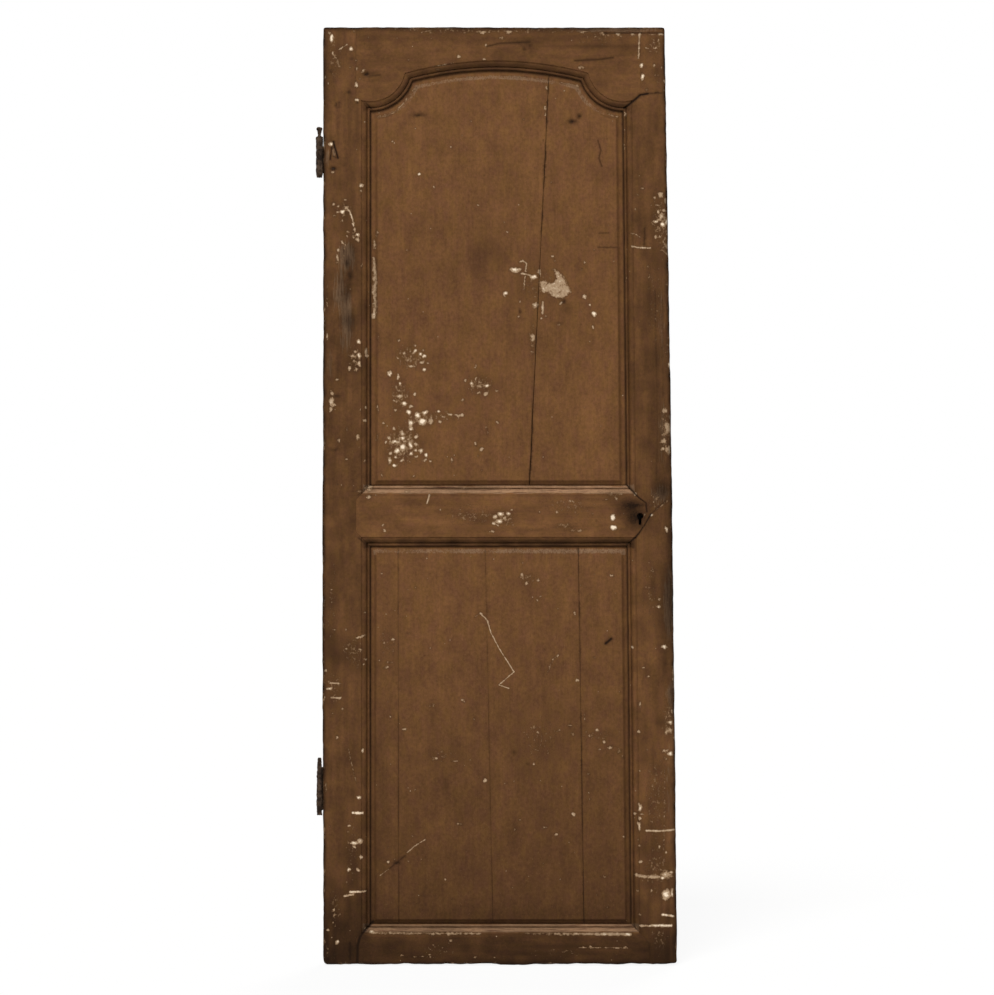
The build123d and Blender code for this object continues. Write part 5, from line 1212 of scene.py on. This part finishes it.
def frame_recess(x, z):
    """Painted shade in the moulding, most where it hangs under a rail, and a painted highlight on a sill,
    laid on as paint rubbed off.
    """
    upper = z > (LOWER_HEAD + UPPER_SILL) / 2
    d = np.where(upper, UPPER.offset(x, z), LOWER.offset(x, z))
    # Painted shade on mouldings that face down under a rail
    overhung = np.where(upper, (z > EAR_FOOT) * 0.34, (z > LOWER_HEAD - 4) * 0.62)
    sill = np.where(upper, z < UPPER_SILL + 2, z < LOWER_SILL + 2)
    patchy = 0.8 + 0.35 * drift(x, z, 22, 38)
    dirt_and_shade = np.exp(-(((d - 8) / 9.5) ** 4)) * overhung
    # Creases: offset, width, strength of their painted shade, and its strength on a sill
    for place, width, strength, on_sill in (
        (0.0, 2.2, 0.72, 0.3), (BEAD + QUIRK / 2, 1.0, 0.14, 0.0),
        (MOULDING - FILLET, 1.2, 0.17, 0.1), (MOULDING + 1, 2.0, 0.0, 0.3),
    ):
        line = np.exp(-(((d - place) / width) ** 2))
        dirt_and_shade = np.maximum(dirt_and_shade, line * np.where(sill, on_sill, strength))
    # A sill's moulding faces up: a painted highlight, laid on as paint rubbed to bare wood
    rubbed_and_highlit = np.exp(-(((d - 8.5) / 9.0) ** 4)) * sill * (0.92 + 0.15 * drift(x, z, 40, 41))
    return np.array((dirt_and_shade * patchy, rubbed_and_highlit))


def frame_member(outline, creases, seed, sizes, holes=()):
    """Front half of a stile or rail, moulded on its sight edges, down to the back of the lip."""
    step = sizes.mesh_step / MM
    corners = [(x, z) for x, z, _ in outline]
    loop = spaced(corners, step, True)
    lines = arris_lines(outline, sizes, step) + [spaced(line, step) for line in creases]

    def free(x, z):
        clear = (UPPER.offset(x, z) > MOULDING + 3) & (LOWER.offset(x, z) > MOULDING + 3)
        for hole in holes:
            clear &= run_distance(x, z, list(hole) + [hole[0]]) > 1.5
        return clear

    inner = face_points(corners, sizes, seed, free)
    plan, faces = triangulate([loop] + [list(hole) for hole in holes], lines, inner)
    x, z = plan[:, 0], plan[:, 1]
    depth = np.maximum(ovolo_profile(UPPER.offset(x, z)), ovolo_profile(LOWER.offset(x, z)))
    depth = depth + arris(x, z, outline, sizes) + unevenness(x, z, seed)
    return slab(plan, faces, np.minimum(depth, LIP_BACK - 0.3), LIP_BACK, LIP_STEP, seed, 0.01)


def frame_core(corners, seed, holes=()):
    """Back half of a stile or rail, square-edged, behind the moulded lip."""
    loop = spaced(corners, BACK_STEP, True)
    inner = scatter(corners, CORE_STEP, seed, anywhere)
    plan, faces = triangulate([loop] + [list(hole) for hole in holes], [], inner)
    return slab(plan, faces, np.full(len(plan), LIP_BACK), BACK, BACK_STEP, seed + 1)


def keyhole_loop(grow):
    """Outline of the worn keyhole: a round eye over a slot."""
    kx, kz = KEYHOLE
    half, radius = KEY_SLOT / 2 + grow, KEY_EYE + grow
    turn = math.asin(half / radius)
    eye = arc(KEYHOLE, radius, -math.pi / 2 + turn, 1.5 * math.pi - turn, 1.6)
    heel, foot = kz - KEY_DROP * 0.8, kz - KEY_DROP
    slot = ((-half, heel), (-half * 0.6, foot), (half * 0.6, foot), (half, heel))
    return eye + [(kx + dx, z) for dx, z in slot]


def side_x(side, place, z):
    """X of a stile's edge, sight or shoulder line at a level."""
    if side == "hinge":
        return {"edge": HINGE_EDGE, "sight": HINGE_SIGHT, "shoulder": HINGE_SIGHT - HINGE_SHOULDER}[place]
    sight = lock_sight(z)
    return {"edge": lock_edge(z), "sight": sight, "shoulder": sight + LOCK_SHOULDER * SLANT}[place]


def mitres(side):
    """Levels where the shoulders of a stile turn into its mitres, from the foot up."""
    reach = HINGE_SHOULDER if side == "hinge" else LOCK_SHOULDER
    return LOWER_SILL - reach, LOWER_HEAD + reach, UPPER_SILL - reach, EAR_FOOT + EAR_MITRE_RISE


# Offsets at which the bent mitre through an ear is followed
EAR_MITRE = (6.0, 12.0, 18.0)


def length_property(name, description, default):
    """A length of the finish, in metres."""
    return bpy.props.FloatProperty(name=name, description=description, default=default, unit="LENGTH")


class DoorSizes(bpy.types.PropertyGroup):
    """Sizes of the finish that a user may change."""

    mesh_step: length_property("Mesh step", "Spacing of the face's points", 0.0034)
    mark_step: length_property("Mark step", "Spacing of the points in chips and scratches", 0.0015)
    arris: length_property("Arris", "Rounding of the leaf's outer edges", 0.0026)
    joint_arris: length_property("Joint arris", "Rounding along shoulders and board joints", 0.0005)
    grain_depth: length_property("Grain depth", "Height of the raised grain", 0.00022)
    grain_width: length_property("Grain width", "Spacing of the raised grain", 0.009)
    grain_length: length_property("Grain length", "Length of the raised grain", 0.16)
    forge_depth: length_property("Forge depth", "Height of the hammered skin of the hinges", 0.0042)


def colour_property(name, description, code):
    """A colour of the finish, from its sRGB hex code."""
    return bpy.props.FloatVectorProperty(
        name=name, description=description, default=linear(code), size=4, subtype="COLOR", min=0, max=1)


class DoorFinishes(bpy.types.PropertyGroup):
    """Colours of the door and of the floor it stands on."""

    paint: colour_property("Paint", "Brown oil paint", "6b4a29")
    paint_redder: colour_property("Redder paint", "Paint gone a little redder", "65432b")
    # This rubbed paint colour also lays painted highlights on upward slopes and mouldings
    rubbed_and_highlit: colour_property("Rubbed paint", "Paint rubbed thin", "836649")
    undercoat: colour_property("Undercoat", "Cream undercoat in the chips", "a3886b")
    undercoat_clean: colour_property("Clean undercoat", "Fresh chips", "efdcc2")
    wood: colour_property("Bare wood", "Weathered wood", "7d6148")
    wood_dark: colour_property("Dark grain", "Dark grain of the bare wood", "432a20")
    # This grime colour also paints the shade in recesses and creases
    grime_and_shade: colour_property("Grime", "Dirt in recesses and cracks", "1f1208")
    iron: colour_property("Hinge iron", "Dark scale of the hinges", "20150e")
    hinge_rust: colour_property("Hinge rust", "Brown rust and paint left on the hinges", "5a4839")
    lock_iron: colour_property("Lock iron", "Dark iron of the lock", "34302d")
    rust: colour_property("Rust", "Rust of the lock", "5c3a23")
    floor: colour_property("Floor", "Pale studio floor", "f4f3f1")


class DOOR_OT_stiles(bpy.types.Operator):
    """Make the hinge stile and the lock stile"""

    bl_idname = "door.stiles"
    bl_label = "Stiles"

    def execute(self, context):
        sizes, finishes = context.scene.door_sizes, context.scene.door_finishes
        for side in ("hinge", "lock"):
            low, high, upper, ear = mitres(side)

            def at(place, z):
                return side_x(side, place, z), z

            mitre = [(*UPPER.corner("head", side, d), "joint") for d in (0.0, *EAR_MITRE)]
            outline = [
                (*at("edge", FOOT), "edge"), (*at("shoulder", FOOT), "joint"),
                (*at("shoulder", low), "joint"),
                (*LOWER.corner("foot", side, 0), "sight"), (*LOWER.corner("head", side, 0), "joint"),
                (*at("shoulder", high), "joint"), (*at("shoulder", upper), "joint"),
                (*UPPER.corner("foot", side, 0), "sight"), *mitre, (*at("shoulder", ear), "joint"),
                (*at("shoulder", HEAD), "edge"), (*at("edge", HEAD), "edge"),
            ]
            creases = [opening.side_line(side, d) for opening in (LOWER, UPPER) for d in OVOLO_LINES]
            holes = [keyhole_loop(0.0)] if side == "lock" else []
            core = [at("edge", FOOT), at("sight", FOOT), at("sight", HEAD), at("edge", HEAD)]
            shell = joined(frame_member(outline, creases, 11, sizes), frame_core(core, 13, holes))
            recess = frame_recess(shell[0][:, 0], shell[0][:, 2]) * (shell[1] == FRONT)
            name = side + "_stile"
            wooden_piece(name + "_painted", shell, recess, name, "upright", sizes, finishes, [name])
        return {"FINISHED"}


class DOOR_OT_rails(bpy.types.Operator):
    """Make the bottom rail, the lock rail with its keyhole and the shaped top rail"""

    bl_idname = "door.rails"
    bl_label = "Rails"

    def execute(self, context):
        sizes, finishes = context.scene.door_sizes, context.scene.door_finishes
        step = sizes.mesh_step / MM
        lows, highs, uppers, ears = zip(mitres("hinge"), mitres("lock"))

        def at(side, place, z):
            return side_x(side, place, z), z

        hinge_mitre = [(*UPPER.corner("head", "hinge", d), "joint") for d in reversed(EAR_MITRE)]
        lock_mitre = [(*UPPER.corner("head", "lock", d), "joint") for d in EAR_MITRE]
        head_line = [(x, z, "sight") for x, z in UPPER.head_line(0.0, step)]
        head_line[-1] = (*head_line[-1][:2], "joint")
        outlines = {
            "bottom_rail": [
                (*at("hinge", "shoulder", FOOT), "edge"), (*at("lock", "shoulder", FOOT), "joint"),
                (*at("lock", "shoulder", lows[1]), "joint"), (*LOWER.corner("foot", "lock", 0), "sight"),
                (*LOWER.corner("foot", "hinge", 0), "joint"), (*at("hinge", "shoulder", lows[0]), "joint"),
            ],
            "lock_rail": [
                (*at("hinge", "shoulder", highs[0]), "joint"), (*LOWER.corner("head", "hinge", 0), "sight"),
                (*LOWER.corner("head", "lock", 0), "joint"), (*at("lock", "shoulder", highs[1]), "joint"),
                (*at("lock", "shoulder", uppers[1]), "joint"), (*UPPER.corner("foot", "lock", 0), "sight"),
                (*UPPER.corner("foot", "hinge", 0), "joint"), (*at("hinge", "shoulder", uppers[0]), "joint"),
            ],
            "top_rail": [
                (*at("hinge", "shoulder", HEAD), "joint"), (*at("hinge", "shoulder", ears[0]), "joint"),
                *hinge_mitre, *head_line, *lock_mitre, (*at("lock", "shoulder", ears[1]), "joint"),
                (*at("lock", "shoulder", HEAD), "edge"),
            ],
        }
        creases = {
            "bottom_rail": [LOWER.foot_line(d) for d in OVOLO_LINES],
            "lock_rail": [
                *(LOWER.head_line(d, step) for d in OVOLO_LINES),
                *(UPPER.foot_line(d) for d in OVOLO_LINES),
            ],
            "top_rail": [UPPER.head_line(d, step) for d in OVOLO_LINES],
        }
        cores = {
            "bottom_rail": [
                at("hinge", "sight", FOOT), at("lock", "sight", FOOT), *reversed(LOWER.foot_line(0)),
            ],
            "lock_rail": [*LOWER.head_line(0, step), *reversed(UPPER.foot_line(0))],
            "top_rail": [at("lock", "sight", HEAD), at("hinge", "sight", HEAD), *UPPER.head_line(0, step)],
        }
        for seed, name in enumerate(outlines):
            holes = [keyhole_loop(0.6)] if name == "lock_rail" else []
            low, high = TENONS[name]
            ends = [
                block((HINGE_EDGE - 0.6, LIP_BACK, low), (HINGE_EDGE + 6, GROOVE_BACK, high), 0.5),
                block((lock_edge(low) - 6, LIP_BACK, low), (lock_edge(high) + 0.6, GROOVE_BACK, high), 0.5),
            ]
            shell = joined(
                frame_member(outlines[name], creases[name], 31 + seed, sizes, holes),
                frame_core(cores[name], 41 + seed), *ends,
            )
            recess = frame_recess(shell[0][:, 0], shell[0][:, 2]) * (shell[1] == FRONT)
            wooden_piece(name + "_painted", shell, recess, name, "across", sizes, finishes, [name])
        return {"FINISHED"}


def joint_line(foot_share, head_share, sill, top, wander, seed):
    """Function giving the X of a board joint at a level, with the wander of an old split."""
    x_foot = HINGE_SIGHT + (lock_sight(sill) - HINGE_SIGHT) * foot_share
    x_head = HINGE_SIGHT + (lock_sight(top) - HINGE_SIGHT) * head_share

    def x_at(z):
        z = np.asarray(z, float)
        stray = drift(z, z * 0, 130, seed) + 0.35 * drift(z, z * 0, 22, seed + 1)
        return x_foot + (x_head - x_foot) * (z - sill) / (top - sill) + wander * stray

    return x_at


# How far a panel runs into its groove, levels of the tongue between two boards, least gap of a joint
PANEL_IN, TONGUE_FRONT, TONGUE_REAR, LEAST_GAP = 4.0, 14.6, 19.2, 0.12


def panel_board(opening, fielding, left, right, seed, sizes):
    """One board of a fielded panel between two joints, with the tongue that fills its right joint.

    fielding is the margin's width and how far the panel has dropped in its frame; a joint is its line
    and half of its open gap, both as functions of the level."""
    step = sizes.mesh_step / MM
    margin, drop = fielding

    def sides(point):
        values = []
        if left:
            values.append(float(point[0] - left[0](point[1]) - left[1](point[1])))
        if right:
            values.append(float(right[0](point[1]) - right[1](point[1]) - point[0]))
        return values

    def trimmed(points, closed):
        for which in range(len(sides(points[0]))):
            points = cut_at(points, lambda p: sides(p)[which], closed)
            if len(points) < 2:
                return []
        return points

    def ring(d, fall):
        around = opening.foot_line(d) + list(reversed(opening.head_line(d, step)))
        return spaced([(x, z - fall) for x, z in around], step, True)

    loop = trimmed(ring(PANEL_IN, 0.0), True)
    outline = []
    for a, b in zip(loop, loop[1:] + loop[:1]):
        on_joint = any(abs(sa) < 0.15 and abs(sb) < 0.15 for sa, sb in zip(sides(a), sides(b)))
        outline.append((*a, "joint" if on_joint else "hidden"))
    corners = [(x, z) for x, z, _ in outline]
    flat = margin - FIELD_SLOPE
    lines = []
    for d, fall in (
        (0.0, 0.0), (-flat / 2, drop), (-flat, drop), (-flat - FIELD_SLOPE / 2, drop),
        (-margin, drop), (-margin - 2.5, drop),
    ):
        closed = ring(d, fall)
        for run in (closed[: len(closed) // 2 + 1], closed[len(closed) // 2 :] + closed[:1]):
            line = trimmed(run, False)
            pieces, part = [], line[:1]
            for a, b in zip(line, line[1:]):
                if math.dist(a, b) > step * 1.5:
                    pieces.append(part)
                    part = []
                part.append(b)
            pieces.append(part)
            lines += [piece for piece in pieces if len(piece) > 1]
    edges = [joint for joint in (left, right) if joint]

    def free(x, z):
        clear = (opening.offset(x, z + drop) < -margin - 4) & (opening.offset(x, z) < -margin)
        for line, half_gap in edges:
            clear &= np.abs(x - line(z)) > half_gap(z) + 1.2
        return clear

    inner = face_points(corners, sizes, seed, free)
    plan, faces = triangulate([spaced(corners, step, True)], lines, inner)
    x, z = plan[:, 0], plan[:, 1]
    depth = fielded_profile(opening.offset(x, z), opening.offset(x, z + drop), margin)
    depth = depth + unevenness(x, z, 51)
    for line, half_gap in edges:
        into = np.clip(1 - (np.abs(x - line(z)) - half_gap(z)) / 1.4, 0, 1)
        depth = depth + 0.45 * into * into
    shells = [slab(plan, faces, depth, PANEL_BACK, BACK_STEP, seed, 0.8)]
    if right:
        low = min(p[1] for p in corners) + 2
        high = max(p[1] for p in corners if abs(p[0] - right[0](p[1])) < 40) - 4
        tongue = [(float(right[0](z)) + dx, z) for dx, z in ((-5, low), (8, low), (8, high), (-5, high))]
        tongue_plan, tongue_faces = triangulate([spaced(tongue, 20.0, True)], [], [])
        front = np.full(len(tongue_plan), TONGUE_FRONT)
        shells.append(slab(tongue_plan, tongue_faces, front, TONGUE_REAR, 40.0, seed, 0.3))
    return joined(*shells)


def panel_recess(opening, fielding, joints, x, y, z):
    """Painted shade at the sight line and at the foot of the field's slope, dirt down the joints with painted
    shade deep in their gaps; a painted highlight on the slope at the head.
    """
    margin, drop = fielding
    d, field_d = opening.offset(x, z), opening.offset(x, z + drop)
    # Painted shadow of the frame's lip along the sight line
    dirt_and_shade = np.exp(-((np.minimum(d + 0.4, 0) / 2.2) ** 2)) * 0.74
    head = z > (EAR_FOOT - 8 if opening is UPPER else LOWER_HEAD - 20)
    # Painted shade at the foot of the field's slope, except at the head
    dirt_and_shade = np.maximum(dirt_and_shade, np.exp(-(((field_d + margin - 1.5) / 1.7) ** 2)) * 0.42 * ~head)
    for line, half_gap, strength in joints:
        reach = 0.7 + half_gap(z)
        broken = np.clip(0.75 + 0.6 * drift(z, z * 0, 16, 39), 0.2, 1)
        dirt_and_shade = np.maximum(dirt_and_shade, np.exp(-(((x - line(z)) / reach) ** 2)) * strength * broken)
    # The slope at the head faces up: a painted highlight, laid on as rubbed paint
    slope = np.exp(-(((field_d + margin - FIELD_SLOPE / 2) / 6.0) ** 4))
    rubbed_and_highlit = slope * head * (0.56 + 0.2 * drift(x, z, 30, 42))
    # Deep in a joint's gap the walls are darkened: painted shade
    return np.array((np.where(y > TONGUE_DEPTH + 1.0, 0.85, dirt_and_shade), rubbed_and_highlit))


class DOOR_OT_panels(bpy.types.Operator):
    """Make the boards of the shaped upper panel and of the lower panel"""

    bl_idname = "door.panels"
    bl_label = "Panels"

    def execute(self, context):
        sizes, finishes = context.scene.door_sizes, context.scene.door_finishes

        def opened(foot_gap, head_gap, sill, top):
            def half_gap(z):
                gap = foot_gap + (head_gap - foot_gap) * (z - sill) / (top - sill)
                return np.maximum(LEAST_GAP, gap + 0.18 * drift(z, z * 0, 12, 40)) / 2

            return half_gap

        # A joint is its line, half of its gap and the strength of its dirt
        line = joint_line(*UPPER_JOINT, UPPER_SILL, ARCH_CROWN, 2.0, 61)
        upper = [(line, opened(1.5, 0.5, UPPER_SILL, ARCH_CROWN), 0.8)]
        lower = []
        for k, (shares, gap, dirt_and_shade) in enumerate(zip(LOWER_JOINTS, (0.35, 0.25, 0.6), (0.4, 0.3, 0.6))):
            line = joint_line(*shares, LOWER_SILL, LOWER_HEAD, 0.7, 65 + 2 * k)
            lower.append((line, opened(gap, gap, LOWER_SILL, LOWER_HEAD), dirt_and_shade))
        upper_boards = ("upper_panel_hinge_board", "upper_panel_lock_board")
        lower_boards = tuple("lower_panel_board_%d" % k for k in (1, 2, 3, 4))
        # Opening, its field's margin and drop, joints, row of TONES, boards
        jobs = (
            (UPPER, (15.0, 4.0), upper, "upper_panel", upper_boards),
            (LOWER, (12.5, 2.0), lower, "lower_panel", lower_boards),
        )
        for opening, fielding, joints, member, names in jobs:
            lines = [None, *joints, None]
            for k, name in enumerate(names):
                left, right = (joint and joint[:2] for joint in lines[k : k + 2])
                shell = panel_board(opening, fielding, left, right, 51 + 3 * k, sizes)
                recess = panel_recess(opening, fielding, joints, *shell[0].T) * (shell[1] != REAR)
                wooden_piece(name + "_painted", shell, recess, member, "upright", sizes, finishes, [name])
        return {"FINISHED"}


def solid_places(name, apart):
    """Box of each separate solid in a CAD node of like fastenings, in millimetres."""
    groups = []
    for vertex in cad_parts[name].data.vertices:
        point = np.array(vertex.co) / MM
        for group in groups:
            if np.hypot(*(group[0] - point)[[0, 2]]) < apart:
                group.append(point)
                break
        else:
            groups.append([point])
    return [(np.min(group, axis=0), np.max(group, axis=0)) for group in groups]


class DOOR_OT_fastenings(bpy.types.Operator):
    """Drive the painted pegs, the hinge pins and the lock nails"""

    bl_idname = "door.fastenings"
    bl_label = "Fastenings"

    def execute(self, context):
        finishes = context.scene.door_finishes
        # CAD node, finish, slot, shank's share of the head's radius, dome in millimetres, side it faces
        jobs = (
            ("top_rail_pegs", "brushed_oil_paint_upright", "painted_wood", 0.97, 0.5, 1),
            ("lock_rail_pegs", "brushed_oil_paint_upright", "painted_wood", 0.97, 0.5, 1),
            ("bottom_rail_pegs", "brushed_oil_paint_upright", "painted_wood", 0.97, 0.5, 1),
            ("upper_hinge_pins", "forged_hinge_iron", "hinge_iron", 0.6, 2.2, 1),
            ("lower_hinge_pins", "forged_hinge_iron", "hinge_iron", 0.6, 2.2, 1),
            ("lock_nails", "rim_lock_iron", "lock_iron", 0.5, 2.6, -1),
        )
        for name, finish, slot, shank_share, dome, way in jobs:
            boxes = solid_places(name, 20.0)
            low, high = np.min([box[0] for box in boxes], axis=0), np.max([box[1] for box in boxes], axis=0)
            radius = (boxes[0][1][0] - boxes[0][0][0]) / 2
            seat = low[1] + dome if way > 0 else high[1] - dome
            middles = [((a[0] + b[0]) / 2, seat, (a[2] + b[2]) / 2) for a, b in boxes]
            obj = new_object(name + "_driven", middles, [])
            through_tree(obj, fastenings_tree(), {
                "Head radius": radius * MM, "Head height": dome * MM,
                "Shank radius": radius * shank_share * MM, "Shank length": (high[1] - low[1] - dome) * MM,
                "Facing": way * math.pi / 2,
                "Material": finish_named(finish, finishes),
            })
            points = np.empty(len(obj.data.vertices) * 3)
            obj.data.vertices.foreach_get("co", points)
            points = points.reshape(-1, 3) / MM
            if slot == "painted_wood":
                member = "lock_stile" if points[0, 0] > (HINGE_EDGE + LOCK_EDGE_FOOT) / 2 else "hinge_stile"
                part = np.where(points[:, 1] < LIP_BACK, FRONT, REAR)
                recess = np.full((2, len(points)), 0.08)
                keep_fields(obj.data, aged_fields(points, part, recess, member, "upright"))
            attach(obj, "leaf")
            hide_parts(name)
        return {"FINISHED"}


# Cell of the hinges' hammered skin, and width and height of its hammer marks, in metres
FORGE_CELL, HAMMER_MARK = 0.0013, (0.004, 0.004, 0.007)


class DOOR_OT_ironwork(bpy.types.Operator):
    """Forge the hinge knuckles and give the lock its finish"""

    bl_idname = "door.ironwork"
    bl_label = "Ironwork"

    def execute(self, context):
        sizes, finishes = context.scene.door_sizes, context.scene.door_finishes
        for name in ("upper_hinge_knuckle", "lower_hinge_knuckle"):
            obj = bpy.data.objects.new(name + "_forged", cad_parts[name].data.copy())
            context.scene.collection.objects.link(obj)
            skin = obj.modifiers.new("skin", "REMESH")
            skin.mode = "VOXEL"
            skin.voxel_size = FORGE_CELL
            skin.use_smooth_shade = True
            through_tree(obj, worn_surface_tree(), {
                "Depth": sizes.forge_depth, "Grain": HAMMER_MARK,
                "Material": finish_named("forged_hinge_iron", finishes),
            })
            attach(obj, "leaf")
            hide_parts(name)
        for name in ("lock_case", "lock_bolt", "bolt_staple", "bolt_spring"):
            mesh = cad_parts[name].data
            mesh.materials.clear()
            mesh.materials.append(finish_named("rim_lock_iron", finishes))
        return {"FINISHED"}


def seen_level(tree, other, seen):
    """One level for what the camera sees, directly, in gloss or through glass, and one for other light."""
    path = node(tree, "ShaderNodeLightPath").outputs
    rays = path["Is Camera Ray"]
    for kind in ("Is Glossy Ray", "Is Transmission Ray"):
        rays = node(tree, "ShaderNodeMath", {0: rays, 1: path[kind]}, operation="MAXIMUM")
    return node(tree, "ShaderNodeMapRange", {0: rays, 1: 0.0, 2: 1.0, 3: other, 4: seen})


# Photograph's size in pixels, and the camera's distance in metres and sensor in millimetres
PHOTO_WIDTH, PHOTO_HEIGHT = 994, 995
CAMERA_AWAY, SENSOR = 7.0, 36.0


class DOOR_OT_stage(bpy.types.Operator):
    """Set the floor, the backdrop, the soft light and the camera"""

    bl_idname = "door.stage"
    bl_label = "Stage"

    def execute(self, context):
        scene = context.scene
        finishes = scene.door_finishes
        material, tree = new_material("pale_studio_paper")
        share = seen_level(tree, 0.0, 0.9)
        matt = node(tree, "ShaderNodeBsdfDiffuse", {"Color": tuple(finishes.floor)})
        white = node(tree, "ShaderNodeEmission", {"Color": (1, 1, 1, 1), "Strength": 1.0})
        mixed = node(tree, "ShaderNodeMixShader", {0: share, 1: matt, 2: white})
        node(tree, "ShaderNodeOutputMaterial", {"Surface": mixed})

        # The leaf stands on one wide sheet of paper, just under its worn foot
        half, level = 30.0 / MM, FOOT - 2.0
        corners = [(x * half, y * half, level) for x, y in ((-1, -1), (1, -1), (1, 1), (-1, 1))]
        sheet = new_object("studio_sheet", corners, [(0, 1, 2, 3)])
        sheet.data.materials.append(material)

        # Soft key from above on the left, as high as the photograph's shadows say, and a fill for the back
        for name, energy, towards in (
            ("key_light", 2.9, (0.16, 0.6, -0.78)), ("back_light", 1.5, (-0.25, -0.8, -0.54)),
        ):
            light = bpy.data.lights.new(name, "SUN")
            light.energy = energy
            light.angle = math.radians(20)
            lamp = bpy.data.objects.new(name, light)
            lamp.rotation_euler = Vector(towards).to_track_quat("-Z", "Y").to_euler()
            scene.collection.objects.link(lamp)

        world = bpy.data.worlds.new("studio_air")
        world.use_nodes = True
        air = world.node_tree
        air.nodes.clear()
        strength = seen_level(air, 0.15, 1.0)
        glow = node(air, "ShaderNodeBackground", {"Color": (1, 1, 1, 1), "Strength": strength})
        node(air, "ShaderNodeOutputWorld", {"Surface": glow})
        scene.world = world

        middle_x, middle_z = on_leaf(PHOTO_WIDTH / 2, PHOTO_HEIGHT / 2)
        camera = bpy.data.cameras.new("camera")
        camera.sensor_width = SENSOR
        camera.lens = SENSOR * CAMERA_AWAY / (PHOTO_HEIGHT * PIXEL * MM)
        camera.clip_end = 60.0
        viewer = bpy.data.objects.new("camera", camera)
        viewer.location = (middle_x * MM, -CAMERA_AWAY, middle_z * MM)
        viewer.rotation_euler = (math.radians(90), 0, 0)
        scene.collection.objects.link(viewer)
        scene.camera = viewer
        scene.view_settings.view_transform = "Standard"
        return {"FINISHED"}


class DOOR_PT_leaf(bpy.types.Panel):
    """Sidebar panel with the door's sizes, colours and steps"""

    bl_idname = "DOOR_PT_leaf"
    bl_label = "Rustic door leaf"
    bl_space_type = "VIEW_3D"
    bl_region_type = "UI"
    bl_category = "Door"

    def draw(self, context):
        for settings in (context.scene.door_sizes, context.scene.door_finishes):
            for key in settings.__annotations__:
                self.layout.prop(settings, key)
        for step in STEPS:
            self.layout.operator(step.bl_idname)


STEPS = (DOOR_OT_stage, DOOR_OT_stiles, DOOR_OT_rails, DOOR_OT_panels, DOOR_OT_fastenings, DOOR_OT_ironwork)
CLASSES = (DoorSizes, DoorFinishes, *STEPS, DOOR_PT_leaf)


def register():
    """Register the classes and hang the settings on the scene."""
    for cls in CLASSES:
        bpy.utils.register_class(cls)
    bpy.types.Scene.door_sizes = bpy.props.PointerProperty(type=DoorSizes)
    bpy.types.Scene.door_finishes = bpy.props.PointerProperty(type=DoorFinishes)


def unregister():
    """Take the settings and the classes out again."""
    del bpy.types.Scene.door_finishes
    del bpy.types.Scene.door_sizes
    for cls in reversed(CLASSES):
        bpy.utils.unregister_class(cls)


def main():
    register()
    bpy.ops.door.stage()
    bpy.ops.door.stiles()
    bpy.ops.door.rails()
    bpy.ops.door.panels()
    bpy.ops.door.fastenings()
    bpy.ops.door.ironwork()


if __name__ == "__main__":
    main()
